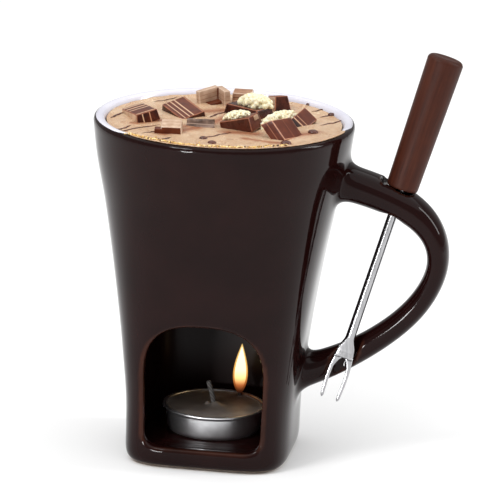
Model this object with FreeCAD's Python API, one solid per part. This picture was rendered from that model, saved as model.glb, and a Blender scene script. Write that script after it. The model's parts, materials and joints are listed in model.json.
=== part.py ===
import FreeCAD, Part
import math
import os

# A fondue mug for one person.  Millimetres, +Z up.  The origin is the centre of the foot.
# The tea-light chamber opens towards -Y and the handle, with its fork, stands towards +X.

V = FreeCAD.Vector
UP = V(0, 0, 1)

# ---- the mug's outside: a soft square at the foot that grows into a round rim ----
mug_height = 131.4
foot_edge_radius = 4.0
rim_edge_radius = 1.7
# height, half the width across the flats, and squareness (2 is a circle, 4.5 a soft square)
body_sections = [
    (0.0, 31.6, 4.6),
    (18.4, 32.0, 4.2),
    (43.4, 34.6, 3.5),
    (71.4, 38.7, 2.9),
    (99.4, 43.9, 2.35),
    (118.4, 48.15, 2.1),
    (mug_height, 50.0, 2.0),
]

# ---- the bowl for the fondue ----
bowl_floor_z = 64.4
bowl_floor_radius = 26.0
floor_corner_pull = 6.0
bowl_wall = [(32.0, 70.4), (39.2, 99.4), (43.6, 118.4), (45.6, mug_height)]
glaze_thickness = 0.5
loose_gap = 0.3

# ---- the tea-light chamber and its mouth ----
chamber_floor_z = 8.4
chamber_sections = [(chamber_floor_z, 26.9, 4.6), (30.0, 27.8, 4.1), (58.4, 30.6, 3.4)]
chamber_top_radius = 8.0
mouth_half_width = 22.8
mouth_spring_z = 36.0
mouth_top_z = 58.0
# how full the arch is: 2 is an ellipse, more is squarer
mouth_arch_fullness = 2.6
mouth_sill_half_width = 22.3
mouth_corner_radius = 5.0

# ---- the handle: centre line in the XZ plane, thickness in that plane, width along Y ----
handle_stations = [
    ((39.7, 111.0), 14.6, 17.5),
    ((49.7, 109.3), 13.5, 16.5),
    ((59.6, 106.7), 12.9, 17.0),
    ((69.8, 102.6), 11.9, 17.0),
    ((77.8, 96.8), 10.6, 15.5),
    ((82.8, 88.9), 9.0, 14.0),
    ((83.9, 80.4), 8.3, 13.4),
    ((81.4, 71.4), 8.4, 13.0),
    ((75.8, 62.2), 8.8, 12.4),
    ((65.0, 51.5), 9.3, 12.0),
    ((56.0, 45.0), 9.9, 12.0),
    ((48.0, 40.3), 10.7, 12.6),
    ((39.2, 36.1), 11.8, 14.0),
    ((28.8, 32.0), 12.6, 15.0),
]

# ---- the fork: it hangs by its grip in a hole through the top of the handle ----
fork_seat = V(68.8, 0.0, 108.9)
fork_up = V(18.5, 8.0, 66.2).normalize()
fork_hole_radius = 4.9
seat_radius = 8.6
rod_radius = 1.85
rod_tang = 26.0
rod_length = 60.5
grip_length = 52.8
grip_bottom_radius = 6.1
grip_top_radius = 7.0
grip_edge_radius = 1.4
head_thickness = 1.5
shoulder_length = 5.6
head_half_width = 3.3
crotch_distance = 69.3
tip_distance = 86.0
tine_width = 1.7
tip_half_spread = 3.7
tine_bow = 0.55
tip_flat = 0.5
head_overlap = 1.5

# ---- the tea light ----
candle_centre = V(0.2, -0.9, chamber_floor_z)
candle_height = 10.0
candle_lip_radius = 20.0
candle_top_radius = 18.7
candle_base_radius = 17.9
candle_base_edge_radius = 1.5
foil_thickness = 0.4
lip_thickness = 0.5
wax_below_lip = 0.8
wick_radius = 0.9
wick_lean = V(-2.6, 0.4, 9.5)
lit_wick_offset = V(7.6, 14.2, 0.0)
lit_wick_radius = 0.7
lit_wick_height = 3.6
lit_wick_depth = 3.0
sustainer_radius = 6.0
sustainer_thickness = 0.3
sustainer_neck_radius = 1.6
sustainer_neck_height = 3.0

# ---- the filling ----
froth_z = 129.4
froth_thickness = 8.0
sink = 2.0
toppings_turn = -2.4


def superellipse_wire(z, half_width, squareness, points=16):
    """Closed curve |x/w|^n + |y/w|^n = 1 at height z."""
    outline = []
    for i in range(points):
        angle = 2 * math.pi * i / points
        c, s = math.cos(angle), math.sin(angle)
        reach = (abs(c) ** squareness + abs(s) ** squareness) ** (-1 / squareness)
        outline.append(V(half_width * reach * c, half_width * reach * s, z))
    curve = Part.BSplineCurve()
    curve.interpolate(Points=outline, PeriodicFlag=True)
    return Part.Wire([curve.toShape()])


def loft_sections(sections):
    """Smooth solid through (z, half width, squareness) sections."""
    return Part.makeLoft([superellipse_wire(*section) for section in sections], True, False)


def edges_at(shape, z, tolerance=0.01):
    """Edges that lie wholly at one height."""
    return [edge for edge in shape.Edges
            if abs(edge.BoundBox.ZMin - z) < tolerance and abs(edge.BoundBox.ZMax - z) < tolerance]


def revolve_profile(edges):
    """Solid of revolution about Z of a closed profile in the XZ plane."""
    wire = Part.Wire(Part.__sortEdges__(edges))
    return Part.makeSolid(Part.Face(wire).revolve(V(0, 0, 0), UP, 360))


def bowl_solid(inset, top_z):
    """The bowl's inner space, shrunk by inset on the floor and the wall, cut off at top_z."""
    wall_points = [V(radius - inset, 0, z) for radius, z in bowl_wall]
    floor_z = bowl_floor_z + inset
    wall = Part.BSplineCurve()
    wall.interpolate(wall_points)
    bottom = wall_points[0]
    floor_end = V(bowl_floor_radius - inset, 0, floor_z)
    slope = wall.tangent(wall.FirstParameter)[0]
    corner = Part.BSplineCurve()
    tangents = [V(floor_corner_pull, 0, 0), slope * floor_corner_pull]
    corner.interpolate(Points=[floor_end, bottom], Tangents=tangents, TangentFlags=[True, True])
    top = V(wall_points[-1].x, 0, mug_height)
    profile = [
        Part.LineSegment(V(0, 0, floor_z), floor_end).toShape(),
        corner.toShape(),
        wall.toShape(),
        Part.LineSegment(top, V(0, 0, mug_height)).toShape(),
        Part.LineSegment(V(0, 0, mug_height), V(0, 0, floor_z)).toShape(),
    ]
    solid = revolve_profile(profile)
    above = Part.makeCylinder(2 * bowl_wall[-1][0], mug_height, V(0, 0, top_z))
    return solid.cut(above) if top_z < mug_height else solid


def mouth_prism():
    """Arched opening through the front wall, as a prism along Y."""
    half, low, radius = mouth_half_width, mouth_sill_half_width, mouth_corner_radius
    sill, spring = chamber_floor_z, mouth_spring_z
    fullness, arch_steps = mouth_arch_fullness, 16
    front, back = -60.0, -20.0

    def at(x, z):
        return V(x, front, z)

    arch_points = []
    for step in range(arch_steps + 1):
        angle = math.pi * step / arch_steps
        c, s = math.cos(angle), math.sin(angle)
        reach = (abs(c) ** fullness + abs(s) ** fullness) ** (-1 / fullness)
        arch_points.append(at(half * reach * c, spring + (mouth_top_z - spring) * reach * s))
    arch = Part.BSplineCurve()
    arch.interpolate(arch_points)
    bend = radius * (1 - math.sqrt(0.5))
    edges = [
        Part.LineSegment(at(-low + radius, sill), at(low - radius, sill)).toShape(),
        Part.Arc(at(low - radius, sill), at(low - bend, sill + bend), at(low, sill + radius)).toShape(),
        Part.LineSegment(at(low, sill + radius), arch_points[0]).toShape(),
        arch.toShape(),
        Part.LineSegment(arch_points[-1], at(-low, sill + radius)).toShape(),
        Part.Arc(at(-low, sill + radius), at(-low + bend, sill + bend), at(-low + radius, sill)).toShape(),
    ]
    return Part.Face(Part.Wire(edges)).extrude(V(0, back - front, 0))


def body_block():
    """The mug's outer form as one solid, with a rounded foot edge."""
    block = loft_sections(body_sections)
    return block.makeFillet(foot_edge_radius, edges_at(block, 0.0))


def make_mug_body(block):
    chamber = loft_sections(chamber_sections)
    chamber = chamber.makeFillet(chamber_top_radius, edges_at(chamber, chamber_sections[-1][0]))
    body = block.cut(bowl_solid(0.0, mug_height))
    body = body.makeFillet(rim_edge_radius, edges_at(body, mug_height))
    return body.cut(chamber).cut(mouth_prism())


def fork_frame():
    """Placement whose Z axis runs up the fork and whose X axis is the way its tines spread."""
    spread = (V(1, 0, 0) - fork_up * fork_up.x).normalize()
    across = fork_up.cross(spread)
    rotation = FreeCAD.Rotation(spread, across, fork_up, "ZXY")
    return FreeCAD.Placement(fork_seat, rotation)


def placed(shape, placement):
    shape.Placement = placement
    return shape


def make_handle(block):
    centres = [V(x, 0, z) for (x, z), thickness, width in handle_stations]
    line = Part.BSplineCurve()
    line.interpolate(centres)
    wires = []
    for centre, (place, thickness, width) in zip(centres, handle_stations):
        along = line.tangent(line.parameter(centre))[0]
        major, minor, long_axis = thickness / 2, width / 2, V(0, 1, 0).cross(along)
        if minor > major:
            major, minor, long_axis = minor, major, V(0, 1, 0)
        short_axis = along.cross(long_axis)
        oval = Part.Ellipse(centre + long_axis * major, centre + short_axis * minor, centre)
        wires.append(Part.Wire([oval.toShape()]))
    handle = Part.makeLoft(wires, True, False)
    drill = placed(Part.makeCylinder(fork_hole_radius, 60, V(0, 0, -30)), fork_frame())
    spot_face = placed(Part.makeCylinder(seat_radius, 20), fork_frame())
    return handle.cut(block).cut(drill).cut(spot_face)


def make_inner_glaze():
    """White coat on the bowl's wall and floor, up to the rim's rounding."""
    top_z = mug_height - rim_edge_radius
    return bowl_solid(0.0, top_z).cut(bowl_solid(glaze_thickness, mug_height))


def make_fork():
    """Stainless rod with a flattened two-pronged head, in one piece."""
    rod_foot = V(0, 0, -rod_length - head_overlap)
    rod = Part.makeCylinder(rod_radius, rod_tang - rod_foot.z, rod_foot)
    shoulder_z = -rod_length
    wide_z = shoulder_z - shoulder_length
    tine_middle_z = (-crotch_distance - tip_distance) / 2
    half = head_half_width

    def side(sign):
        """Outline points down one side of the head and back up that tine's inner edge."""
        outer = [
            V(sign * rod_radius, 0, shoulder_z),
            V(sign * half, 0, wide_z),
            V(sign * (tip_half_spread + tine_bow), 0, tine_middle_z),
            V(sign * tip_half_spread, 0, -tip_distance),
        ]
        inner = [
            V(sign * (tip_half_spread - tip_flat), 0, -tip_distance + tip_flat),
            V(sign * (tip_half_spread + tine_bow - tine_width), 0, tine_middle_z),
            V(0, 0, -crotch_distance),
        ]
        return outer, inner

    def curve_through(points):
        curve = Part.BSplineCurve()
        curve.interpolate(points)
        return curve.toShape()

    edges = [Part.LineSegment(V(-rod_radius, 0, shoulder_z), V(rod_radius, 0, shoulder_z)).toShape()]
    for sign in (1, -1):
        outer, inner = side(sign)
        edges.append(curve_through(outer))
        edges.append(Part.LineSegment(outer[-1], inner[0]).toShape())
        edges.append(curve_through(inner))
    outline = Part.Face(Part.Wire(Part.__sortEdges__(edges)))
    outline.translate(V(0, -head_thickness / 2, 0))
    head = outline.extrude(V(0, head_thickness, 0))
    return placed(rod.fuse(head).removeSplitter(), fork_frame())


def make_grip():
    """Turned grip, a little wider at the top, with a blind hole for the rod's tang."""
    grip = Part.makeCone(grip_bottom_radius, grip_top_radius, grip_length)
    grip = grip.makeFillet(grip_edge_radius, edges_at(grip, grip_length))
    tang_hole = Part.makeCylinder(rod_radius, rod_tang)
    return placed(grip.cut(tang_hole), fork_frame())


def candle_radius(z):
    """Outer radius of the tea light's cup at height z above its base."""
    return candle_base_radius + (candle_top_radius - candle_base_radius) * z / candle_height


def candle_part(shape):
    shape.translate(candle_centre)
    return shape


def candle_inside(top):
    """The space in the cup up to height top, a foil's thickness inside its wall and base."""
    low = candle_radius(foil_thickness) - foil_thickness
    high = candle_radius(top) - foil_thickness
    space = Part.makeCone(low, high, top - foil_thickness, V(0, 0, foil_thickness))
    return space.makeFillet(candle_base_edge_radius - foil_thickness, edges_at(space, foil_thickness))


def make_candle_cup():
    """Pressed aluminium cup: tapered side, flat base and a rolled lip."""
    outside = Part.makeCone(candle_radius(0), candle_radius(candle_height), candle_height)
    outside = outside.makeFillet(candle_base_edge_radius, edges_at(outside, 0.0))
    lip = Part.makeCylinder(candle_lip_radius, lip_thickness, V(0, 0, candle_height - lip_thickness))
    return candle_part(outside.fuse(lip).cut(candle_inside(candle_height)).removeSplitter())


def wick_solid():
    """The middle wick: straight up through the wax, then leaning over to -X."""
    bottom = V(0, 0, foil_thickness + sustainer_thickness)
    wax_top = V(0, 0, candle_height - wax_below_lip)
    stem = Part.makeCylinder(wick_radius, wax_top.z - bottom.z, bottom)
    joint_ball = Part.makeSphere(wick_radius, wax_top)
    upper = Part.makeCylinder(wick_radius, wick_lean.Length, wax_top, wick_lean)
    return stem.fuse([joint_ball, upper]).removeSplitter()


def lit_wick_solid():
    base = lit_wick_offset + V(0, 0, candle_height - wax_below_lip - lit_wick_depth)
    return Part.makeCylinder(lit_wick_radius, lit_wick_depth + lit_wick_height, base)


def sustainer_solid():
    """Tinned disc and neck that hold the wick upright in the wax."""
    disc = Part.makeCylinder(sustainer_radius, sustainer_thickness, V(0, 0, foil_thickness))
    neck = Part.makeCylinder(sustainer_neck_radius, sustainer_neck_height, V(0, 0, foil_thickness))
    return disc.fuse(neck).cut(wick_solid()).removeSplitter()


def make_wax():
    wax = candle_inside(candle_height - wax_below_lip)
    for inner_piece in (sustainer_solid(), wick_solid(), lit_wick_solid()):
        wax = wax.cut(inner_piece)
    return candle_part(wax)


def make_sauce():
    """Melted chocolate that fills the bowl under the froth."""
    return bowl_solid(glaze_thickness + loose_gap, froth_z - froth_thickness)


def make_froth():
    layer = bowl_solid(glaze_thickness + loose_gap, froth_z)
    return layer.cut(make_sauce())


def above_froth(shape):
    """What stands above the froth's flat top."""
    half_space = Part.makeBox(200, 200, 60, V(-100, -100, froth_z - 60))
    return shape.cut(half_space)


def chocolate_block(place, size, yaw, pitch=0.0, roll=0.0, bevel=1.0, base=-sink):
    """Moulded square with a narrower top, turned and tilted; base is its height over the froth."""
    length, width, height = size
    lower = Part.makePolygon([V(-length / 2, -width / 2, 0), V(length / 2, -width / 2, 0),
                              V(length / 2, width / 2, 0), V(-length / 2, width / 2, 0),
                              V(-length / 2, -width / 2, 0)])
    inset_x, inset_y = length / 2 - bevel, width / 2 - bevel
    upper = Part.makePolygon([V(-inset_x, -inset_y, height), V(inset_x, -inset_y, height),
                              V(inset_x, inset_y, height), V(-inset_x, inset_y, height),
                              V(-inset_x, -inset_y, height)])
    block = Part.makeLoft([lower, upper], True, True)
    x, y = place
    block.Placement = FreeCAD.Placement(V(x, y, froth_z + base), FreeCAD.Rotation(yaw, pitch, roll))
    return above_froth(block)


def open_corner():
    """Two pale slabs that meet at the back, like an open book."""
    left = chocolate_block((-12.4, 31.0), (9.4, 2.8, 6.6), 44, -9, 0, 0.2, -1.0)
    right = chocolate_block((-6.5, 31.2), (9.4, 2.8, 6.8), -58, 0, 4, 0.2, -1.0)
    return left.fuse(right).removeSplitter()


def crisp_cluster(centre, size, yaw, pitch=0.0, base=-1.0):
    """Heap of white puffed crisps, as one rounded dome."""
    length, width, height = size
    dome = Part.makeSphere(1.0)
    matrix = FreeCAD.Matrix()
    matrix.scale(length / 2, width / 2, height)
    dome = dome.transformGeometry(matrix).cut(Part.makeBox(60, 60, 30, V(-30, -30, -30)))
    x, y = centre
    dome.Placement = FreeCAD.Placement(V(x, y, froth_z + base), FreeCAD.Rotation(yaw, pitch, 0))
    return above_froth(dome)


def drizzle_group():
    """Thin lines of melted chocolate lying on the froth."""
    line_width, line_height = 0.9, 0.5
    runs = [
        ((-41.5, -8.0), (-40.5, 1.2)),
        ((-34.5, -22.0), (-32.5, -15.4)),
        ((-30.5, -24.5), (-22.9, -10.5)),
        ((-27.5, -27.0), (-22.5, -20.0)),
        ((-17.2, -36.0), (-14.5, -31.0)),
        ((-4.0, -25.0), (5.3, -13.5)),
        ((-7.2, 5.5), (-0.9, 15.4)),
        ((27.5, 26.0), (31.5, 29.5)),
        ((32.6, 18.5), (37.5, 22.0)),
        ((37.0, 9.0), (40.5, 14.5)),
    ]
    lines = []
    for start, end in runs:
        run = V(end[0] - start[0], end[1] - start[1], 0)
        bar = Part.makeBox(run.Length, line_width, line_height, V(0, -line_width / 2, 0))
        heading = math.degrees(math.atan2(run.y, run.x))
        bar.Placement = FreeCAD.Placement(V(start[0], start[1], froth_z), FreeCAD.Rotation(heading, 0, 0))
        lines.append(bar)
    return lines


def drop_group():
    """Small drops of chocolate on the froth."""
    drops = []
    for x, y, radius in ((-1.5, -31.0, 1.6), (29.0, -25.5, 2.0), (37.5, -7.0, 2.0), (-5.5, -27.5, 1.3)):
        drop = Part.makeSphere(radius, V(x, y, froth_z - radius * 0.45))
        drops.append(above_froth(drop))
    return drops


def crumb_group():
    """Biscuit crumbs in a band inside the front of the rim."""
    crumbs = []
    band_radius, count, start, end = 42.3, 26, 212.0, 296.0
    for i in range(count):
        angle = math.radians(start + (end - start) * i / (count - 1))
        radius = band_radius + 1.2 * math.sin(2.4 * i)
        edge = 1.5 + 0.4 * math.sin(1.7 * i)
        crumb = Part.makeBox(edge, edge * 0.8, edge * 0.8, V(-edge / 2, -edge * 0.4, 0))
        place = V(radius * math.cos(angle), radius * math.sin(angle), froth_z)
        crumb.Placement = FreeCAD.Placement(place, FreeCAD.Rotation(37.0 * i, 0, 0))
        crumbs.append(crumb)
    return crumbs


def toppings():
    """Everything that lies on the froth, by name, each cut clear of the ones before it."""
    shapes = {
        "chocolate_1_striped": chocolate_block((-31.9, -1.1), (9.5, 17.0, 4.4), 34, -13, -5, 0.5, -1.2),
        "chocolate_2_striped": chocolate_block((-17.8, 9.8), (15.2, 10.6, 2.9), -45, 11, 14, 0.3, -0.4),
        "chocolate_3_corner": open_corner(),
        "chocolate_4_wafer": chocolate_block((0.5, 33.5), (8.0, 6.5, 7.0), 4, 0, 6, 0.3),
        "chocolate_5_dark": chocolate_block((15.4, 29.4), (7.0, 9.9, 6.2), 32, 0, -12, 1.0, -1.2),
        "chocolate_6_block": chocolate_block((8.2, -5.4), (14.0, 8.6, 5.6), -20, -16, 6, 0.4, -1.3),
        "chocolate_7_large": chocolate_block((24.0, -11.5), (14.8, 12.2, 4.4), 64, 4, 42, 1.5, -0.2),
        "chocolate_8_striped": chocolate_block((26.9, 9.8), (11.2, 7.4, 4.6), 63, -20, 40, 0.4, -1.5),
        "chocolate_9_wafer": chocolate_block((-16.6, -18.6), (8.2, 9.6, 3.4), 9, 0, 5, 0.3, -0.5),
        "chocolate_10_base": chocolate_block((6.2, 16.6), (17.0, 10.5, 4.6), -30, 0, 0, 0.8, -1.0),
        "chocolate_shaving": chocolate_block((-7.5, -8.5), (11.0, 2.8, 3.6), 4, 0, -16, 0.4, -0.8),
        "white_crisps_back": crisp_cluster((8.6, 17.4), (15.0, 10.0, 5.6), -20, 0, 3.4),
        "white_crisps_right": crisp_cluster((20.2, 5.2), (26.0, 7.0, 7.0), 64),
        "white_crisps_top": crisp_cluster((5.6, -3.6), (12.0, 8.0, 3.2), -20, -16, 3.4),
    }
    placed_shapes = []
    for name, shape in shapes.items():
        for other in placed_shapes:
            shape = shape.cut(other)
        biggest = max(shape.Solids, key=lambda solid: solid.Volume)
        shapes[name] = biggest
        placed_shapes.append(biggest)
    groups = {
        "chocolate_drizzle": drizzle_group(),
        "chocolate_drops": drop_group(),
        "biscuit_crumbs": crumb_group(),
    }
    for name, pieces in groups.items():
        clear = []
        for piece in pieces:
            for other in placed_shapes:
                piece = piece.cut(other)
            clear += [solid for solid in piece.Solids if solid.Volume > 0.05]
        placed_shapes += clear
        shapes[name] = Part.makeCompound(clear)
    for shape in shapes.values():
        shape.rotate(V(0, 0, 0), UP, toppings_turn)
    return shapes


def build_nodes():
    block = body_block()
    nodes = {
        "mug_body": make_mug_body(block),
        "mug_handle": make_handle(block),
        "inner_glaze": make_inner_glaze(),
        "tealight_cup": make_candle_cup(),
        "tealight_wax": make_wax(),
        "wick_sustainer": candle_part(sustainer_solid()),
        "wick": candle_part(wick_solid()),
        "lit_wick": candle_part(lit_wick_solid()),
        "fork_tines": make_fork(),
        "fork_grip": make_grip(),
        "melted_chocolate": make_sauce(),
        "fondue_froth": make_froth(),
    }
    nodes.update(toppings())
    return nodes


def main():
    os.makedirs("parts", exist_ok=True)
    for name, shape in build_nodes().items():
        print(name, "solids", len(shape.Solids), "valid", shape.isValid(), "volume", round(shape.Volume, 1))
        shape.exportStep("parts/" + name + ".step")


main()
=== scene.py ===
import json
import math
import bmesh
import bpy
import numpy as np
import openvdb
from mathutils import Matrix, Vector, noise


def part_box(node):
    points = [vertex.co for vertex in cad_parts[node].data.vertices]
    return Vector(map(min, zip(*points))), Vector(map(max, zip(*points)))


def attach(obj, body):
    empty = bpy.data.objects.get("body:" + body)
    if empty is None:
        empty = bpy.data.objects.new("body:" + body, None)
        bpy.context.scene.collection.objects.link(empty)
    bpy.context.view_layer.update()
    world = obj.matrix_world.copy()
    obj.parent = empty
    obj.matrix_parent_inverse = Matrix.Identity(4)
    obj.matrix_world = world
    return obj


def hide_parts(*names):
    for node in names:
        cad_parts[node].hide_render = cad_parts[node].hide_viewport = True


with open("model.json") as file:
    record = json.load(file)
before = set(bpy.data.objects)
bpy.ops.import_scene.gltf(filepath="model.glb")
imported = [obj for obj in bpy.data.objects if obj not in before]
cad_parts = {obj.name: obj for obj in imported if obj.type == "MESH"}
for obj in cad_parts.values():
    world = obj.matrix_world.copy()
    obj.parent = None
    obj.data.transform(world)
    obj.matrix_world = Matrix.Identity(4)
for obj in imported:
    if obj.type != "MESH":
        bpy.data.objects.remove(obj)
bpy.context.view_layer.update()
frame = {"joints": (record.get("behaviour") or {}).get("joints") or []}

# the noise module takes its vector offsets from the clock unless it is given a seed
NOISE_SEED = 7
noise.seed_set(NOISE_SEED)

# Lengths below are in millimetres, as in the CAD; a piece's mesh is scaled to metres as it is made.
MM = 0.001


def cad_box(node):
    """Lowest and highest corner of a CAD node, in millimetres."""
    low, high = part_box(node)
    return np.array(low) / MM, np.array(high) / MM


# ---------------------------------------------------------------- sizes

mug_low, mug_high = cad_box("mug_body")
MUG_HEIGHT = mug_high[2]
# height, half the width across the flats, squareness (2 is round), as the CAD body is lofted
BODY_SECTIONS = np.array([
    (0.0, 31.6, 4.6), (18.4, 32.0, 4.2), (43.4, 34.6, 3.5), (71.4, 38.7, 2.9),
    (99.4, 43.9, 2.35), (118.4, 48.15, 2.1), (MUG_HEIGHT, 50.0, 2.0),
])
BOWL_FLOOR_Z = 64.4
BOWL_WALL = np.array([(70.4, 32.0), (99.4, 39.2), (118.4, 43.6), (MUG_HEIGHT, 45.6)])
CHAMBER_FLOOR_Z = 8.4
CHAMBER_TOP_Z = 58.4
CHAMBER_SECTIONS = np.array([(CHAMBER_FLOOR_Z, 26.9, 4.6), (30.0, 27.8, 4.1), (CHAMBER_TOP_Z, 30.6, 3.4)])
MOUTH_HALF_WIDTH = 22.8
MOUTH_SPRING_Z = 36.0
MOUTH_TOP_Z = 58.0
MOUTH_FULLNESS = 2.6
# the handle's centre line (x, z), its thickness in the XZ plane and its width along Y
HANDLE_STATIONS = np.array([
    (39.7, 111.0, 14.6, 17.5), (49.7, 109.3, 13.5, 16.5), (59.6, 106.7, 12.9, 17.0),
    (69.8, 102.6, 11.9, 17.0), (77.8, 96.8, 10.6, 15.5), (82.8, 88.9, 9.0, 14.0),
    (83.9, 80.4, 8.3, 13.4), (81.4, 71.4, 8.4, 13.0), (75.8, 62.2, 8.8, 12.4),
    (65.0, 51.5, 9.3, 12.0), (56.0, 45.0, 9.9, 12.0), (48.0, 40.3, 10.7, 12.6),
    (39.2, 36.1, 11.8, 14.0), (28.8, 32.0, 12.6, 15.0),
])

HANDLE_SQUARENESS = 2.3

fork_joint = next(joint for joint in frame["joints"] if joint["name"] == "fork_lift")
FORK_UP = np.array(fork_joint["axis"]) / np.linalg.norm(fork_joint["axis"])
FORK_SEAT = np.array((68.8, 0.0, 108.9))
FORK_SPREAD = np.array((1.0, 0.0, 0.0)) - FORK_UP * FORK_UP[0]
FORK_SPREAD /= np.linalg.norm(FORK_SPREAD)
FORK_ACROSS = np.cross(FORK_UP, FORK_SPREAD)
FORK_HOLE_RADIUS = 4.9
SEAT_RADIUS = 8.6


# ---------------------------------------------------------------- smooth curves and fields

def smooth_curve(knots, values, at):
    """Cubic curve with no overshoot through the knots (monotone slopes), read at the given places."""
    steps = np.diff(knots)
    secants = np.diff(values) / steps
    slopes = np.empty_like(values)
    slopes[0], slopes[-1] = secants[0], secants[-1]
    weight_a = 2 * steps[1:] + steps[:-1]
    weight_b = steps[1:] + 2 * steps[:-1]
    same_way = secants[1:] * secants[:-1] > 0
    safe_a = np.where(same_way, secants[:-1], 1.0)
    safe_b = np.where(same_way, secants[1:], 1.0)
    slopes[1:-1] = np.where(same_way, (weight_a + weight_b) / (weight_a / safe_a + weight_b / safe_b), 0.0)
    at = np.clip(at, knots[0], knots[-1])
    i = np.clip(np.searchsorted(knots, at) - 1, 0, len(steps) - 1)
    t = (at - knots[i]) / steps[i]
    return (values[i] * (1 + 2 * t) * (1 - t) ** 2 + slopes[i] * steps[i] * t * (1 - t) ** 2
            + values[i + 1] * t * t * (3 - 2 * t) + slopes[i + 1] * steps[i] * t * t * (t - 1))


def merge(a, b, blend):
    """Union of two distance fields, with a soft fillet about 0.57 of blend in radius."""
    if blend == 0:
        return np.minimum(a, b)
    near = np.maximum(blend - np.abs(a - b), 0) / blend
    return np.minimum(a, b) - near ** 3 * blend / 6


def carve(a, b, blend):
    """Field a with field b cut out of it, with a soft edge."""
    return -merge(-a, b, blend)


def both(a, b, blend):
    """What lies in a and in b, with a soft edge."""
    return -merge(-a, -b, blend)


def squared_round(x, y, half_width, squareness):
    """Distance to the curve |x/w|^n + |y/w|^n = 1, close to the curve."""
    u, v = np.abs(x) / half_width, np.abs(y) / half_width
    size = (u ** squareness + v ** squareness) ** (1 / squareness)
    size = np.maximum(size, 1e-3)
    steep = np.sqrt((u / size) ** (2 * squareness - 2) + (v / size) ** (2 * squareness - 2))
    return (size - 1) * half_width / np.maximum(steep, 0.3)


def squared_oval(across, up, half_width, half_height, squareness, least):
    """Distance to a squared oval, close to it; across and up are not negative."""
    u, v = across / half_width, up / half_height
    size = np.maximum((u ** squareness + v ** squareness) ** (1 / squareness), 1e-3)
    slope_u = (u / size) ** (squareness - 1) / half_width
    slope_v = (v / size) ** (squareness - 1) / half_height
    return (size - 1) / np.maximum(np.hypot(slope_u, slope_v), least)


def lofted(x, y, z, sections):
    """Distance to the side of a form lofted through (z, half width, squareness) sections."""
    heights, widths, squarenesses = sections.T
    lean = smooth_curve(heights, widths, z + 0.5) - smooth_curve(heights, widths, z - 0.5)
    squareness = smooth_curve(heights, squarenesses, z)
    return squared_round(x, y, smooth_curve(heights, widths, z), squareness) / np.sqrt(1 + lean ** 2)


def bowl_radius(z):
    return smooth_curve(BOWL_WALL[:, 0], BOWL_WALL[:, 1], z)


def bowl_field(x, y, z):
    side = (np.hypot(x, y) - bowl_radius(z)) * 0.96
    return both(side, BOWL_FLOOR_Z - z, 16.0)


def chamber_field(x, y, z):
    room = both(lofted(x, y, z, CHAMBER_SECTIONS), z - CHAMBER_TOP_Z, 14.0)
    return both(room, CHAMBER_FLOOR_Z - z, 3.0)


def mouth_field(x, y, z):
    """The arched opening through the front wall."""
    rise = MOUTH_TOP_Z - MOUTH_SPRING_Z
    above = np.maximum(z - MOUTH_SPRING_Z, 0)
    arch = squared_oval(np.abs(x), above, MOUTH_HALF_WIDTH, rise, MOUTH_FULLNESS, 0.03)
    jamb = np.abs(x) - MOUTH_HALF_WIDTH + 0.022 * (MOUTH_SPRING_Z - z)
    outline = np.where(z > MOUTH_SPRING_Z, arch, jamb)
    outline = both(outline, CHAMBER_FLOOR_Z - z, 8.8)
    return np.maximum(outline, y + 22.0)


def centre_line():
    """Closely spaced points of the handle's centre line with its thickness and width."""
    distance = np.concatenate([[0], np.cumsum(np.hypot(*np.diff(HANDLE_STATIONS[:, :2], axis=0).T))])
    dense = np.linspace(0, distance[-1], 420)
    columns = [natural_spline(distance, HANDLE_STATIONS[:, k], dense) for k in range(4)]
    return np.stack(columns, -1)


def natural_spline(knots, values, at):
    """Twice smooth cubic spline through the knots."""
    count = len(knots)
    steps = np.diff(knots)
    matrix = np.eye(count)
    right = np.zeros(count)
    for i in range(1, count - 1):
        matrix[i, i - 1:i + 2] = steps[i - 1], 2 * (steps[i - 1] + steps[i]), steps[i]
        right[i] = 6 * ((values[i + 1] - values[i]) / steps[i] - (values[i] - values[i - 1]) / steps[i - 1])
    bend = np.linalg.solve(matrix, right)
    i = np.clip(np.searchsorted(knots, at) - 1, 0, count - 2)
    a, b, h = knots[i + 1] - at, at - knots[i], steps[i]
    return (bend[i] * a ** 3 / (6 * h) + bend[i + 1] * b ** 3 / (6 * h)
            + (values[i] / h - bend[i] * h / 6) * a + (values[i + 1] / h - bend[i + 1] * h / 6) * b)


HANDLE_LINE = centre_line()


def handle_field(x, y, z):
    """A strap of oval section swept along the centre line, in the XZ plane."""
    flat_x, flat_z = (part.ravel() for part in np.broadcast_arrays(x, z))
    shape = np.broadcast(x, z).shape
    line = HANDLE_LINE[:, :2]
    run = np.diff(line, axis=0)
    lengths = (run ** 2).sum(1)
    offset, thickness, width = (np.empty(len(flat_x)) for _ in range(3))
    for start in range(0, len(flat_x), 20000):
        part = slice(start, start + 20000)
        place = np.stack([flat_x[part], flat_z[part]], -1)
        nearest = ((place[:, None] - line[None, :-1]) ** 2).sum(-1).argmin(1)
        nearest = np.clip(nearest, 1, len(run) - 1)
        best = np.full(len(place), 1e9)
        for k in (nearest - 1, nearest):
            t = np.clip(((place - line[k]) * run[k]).sum(1) / lengths[k], 0, 1)
            gap = np.hypot(*(place - line[k] - t[:, None] * run[k]).T)
            closer = gap < best
            best = np.where(closer, gap, best)
            blend = HANDLE_LINE[k, 2:] * (1 - t[:, None]) + HANDLE_LINE[k + 1, 2:] * t[:, None]
            thickness[part] = np.where(closer, blend[:, 0], thickness[part])
            width[part] = np.where(closer, blend[:, 1], width[part])
        offset[part] = best
    offset, thickness, width = (part.reshape(shape) for part in (offset, thickness, width))
    return squared_oval(offset, np.abs(y), thickness / 2, width / 2, HANDLE_SQUARENESS, 0.05)


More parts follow.
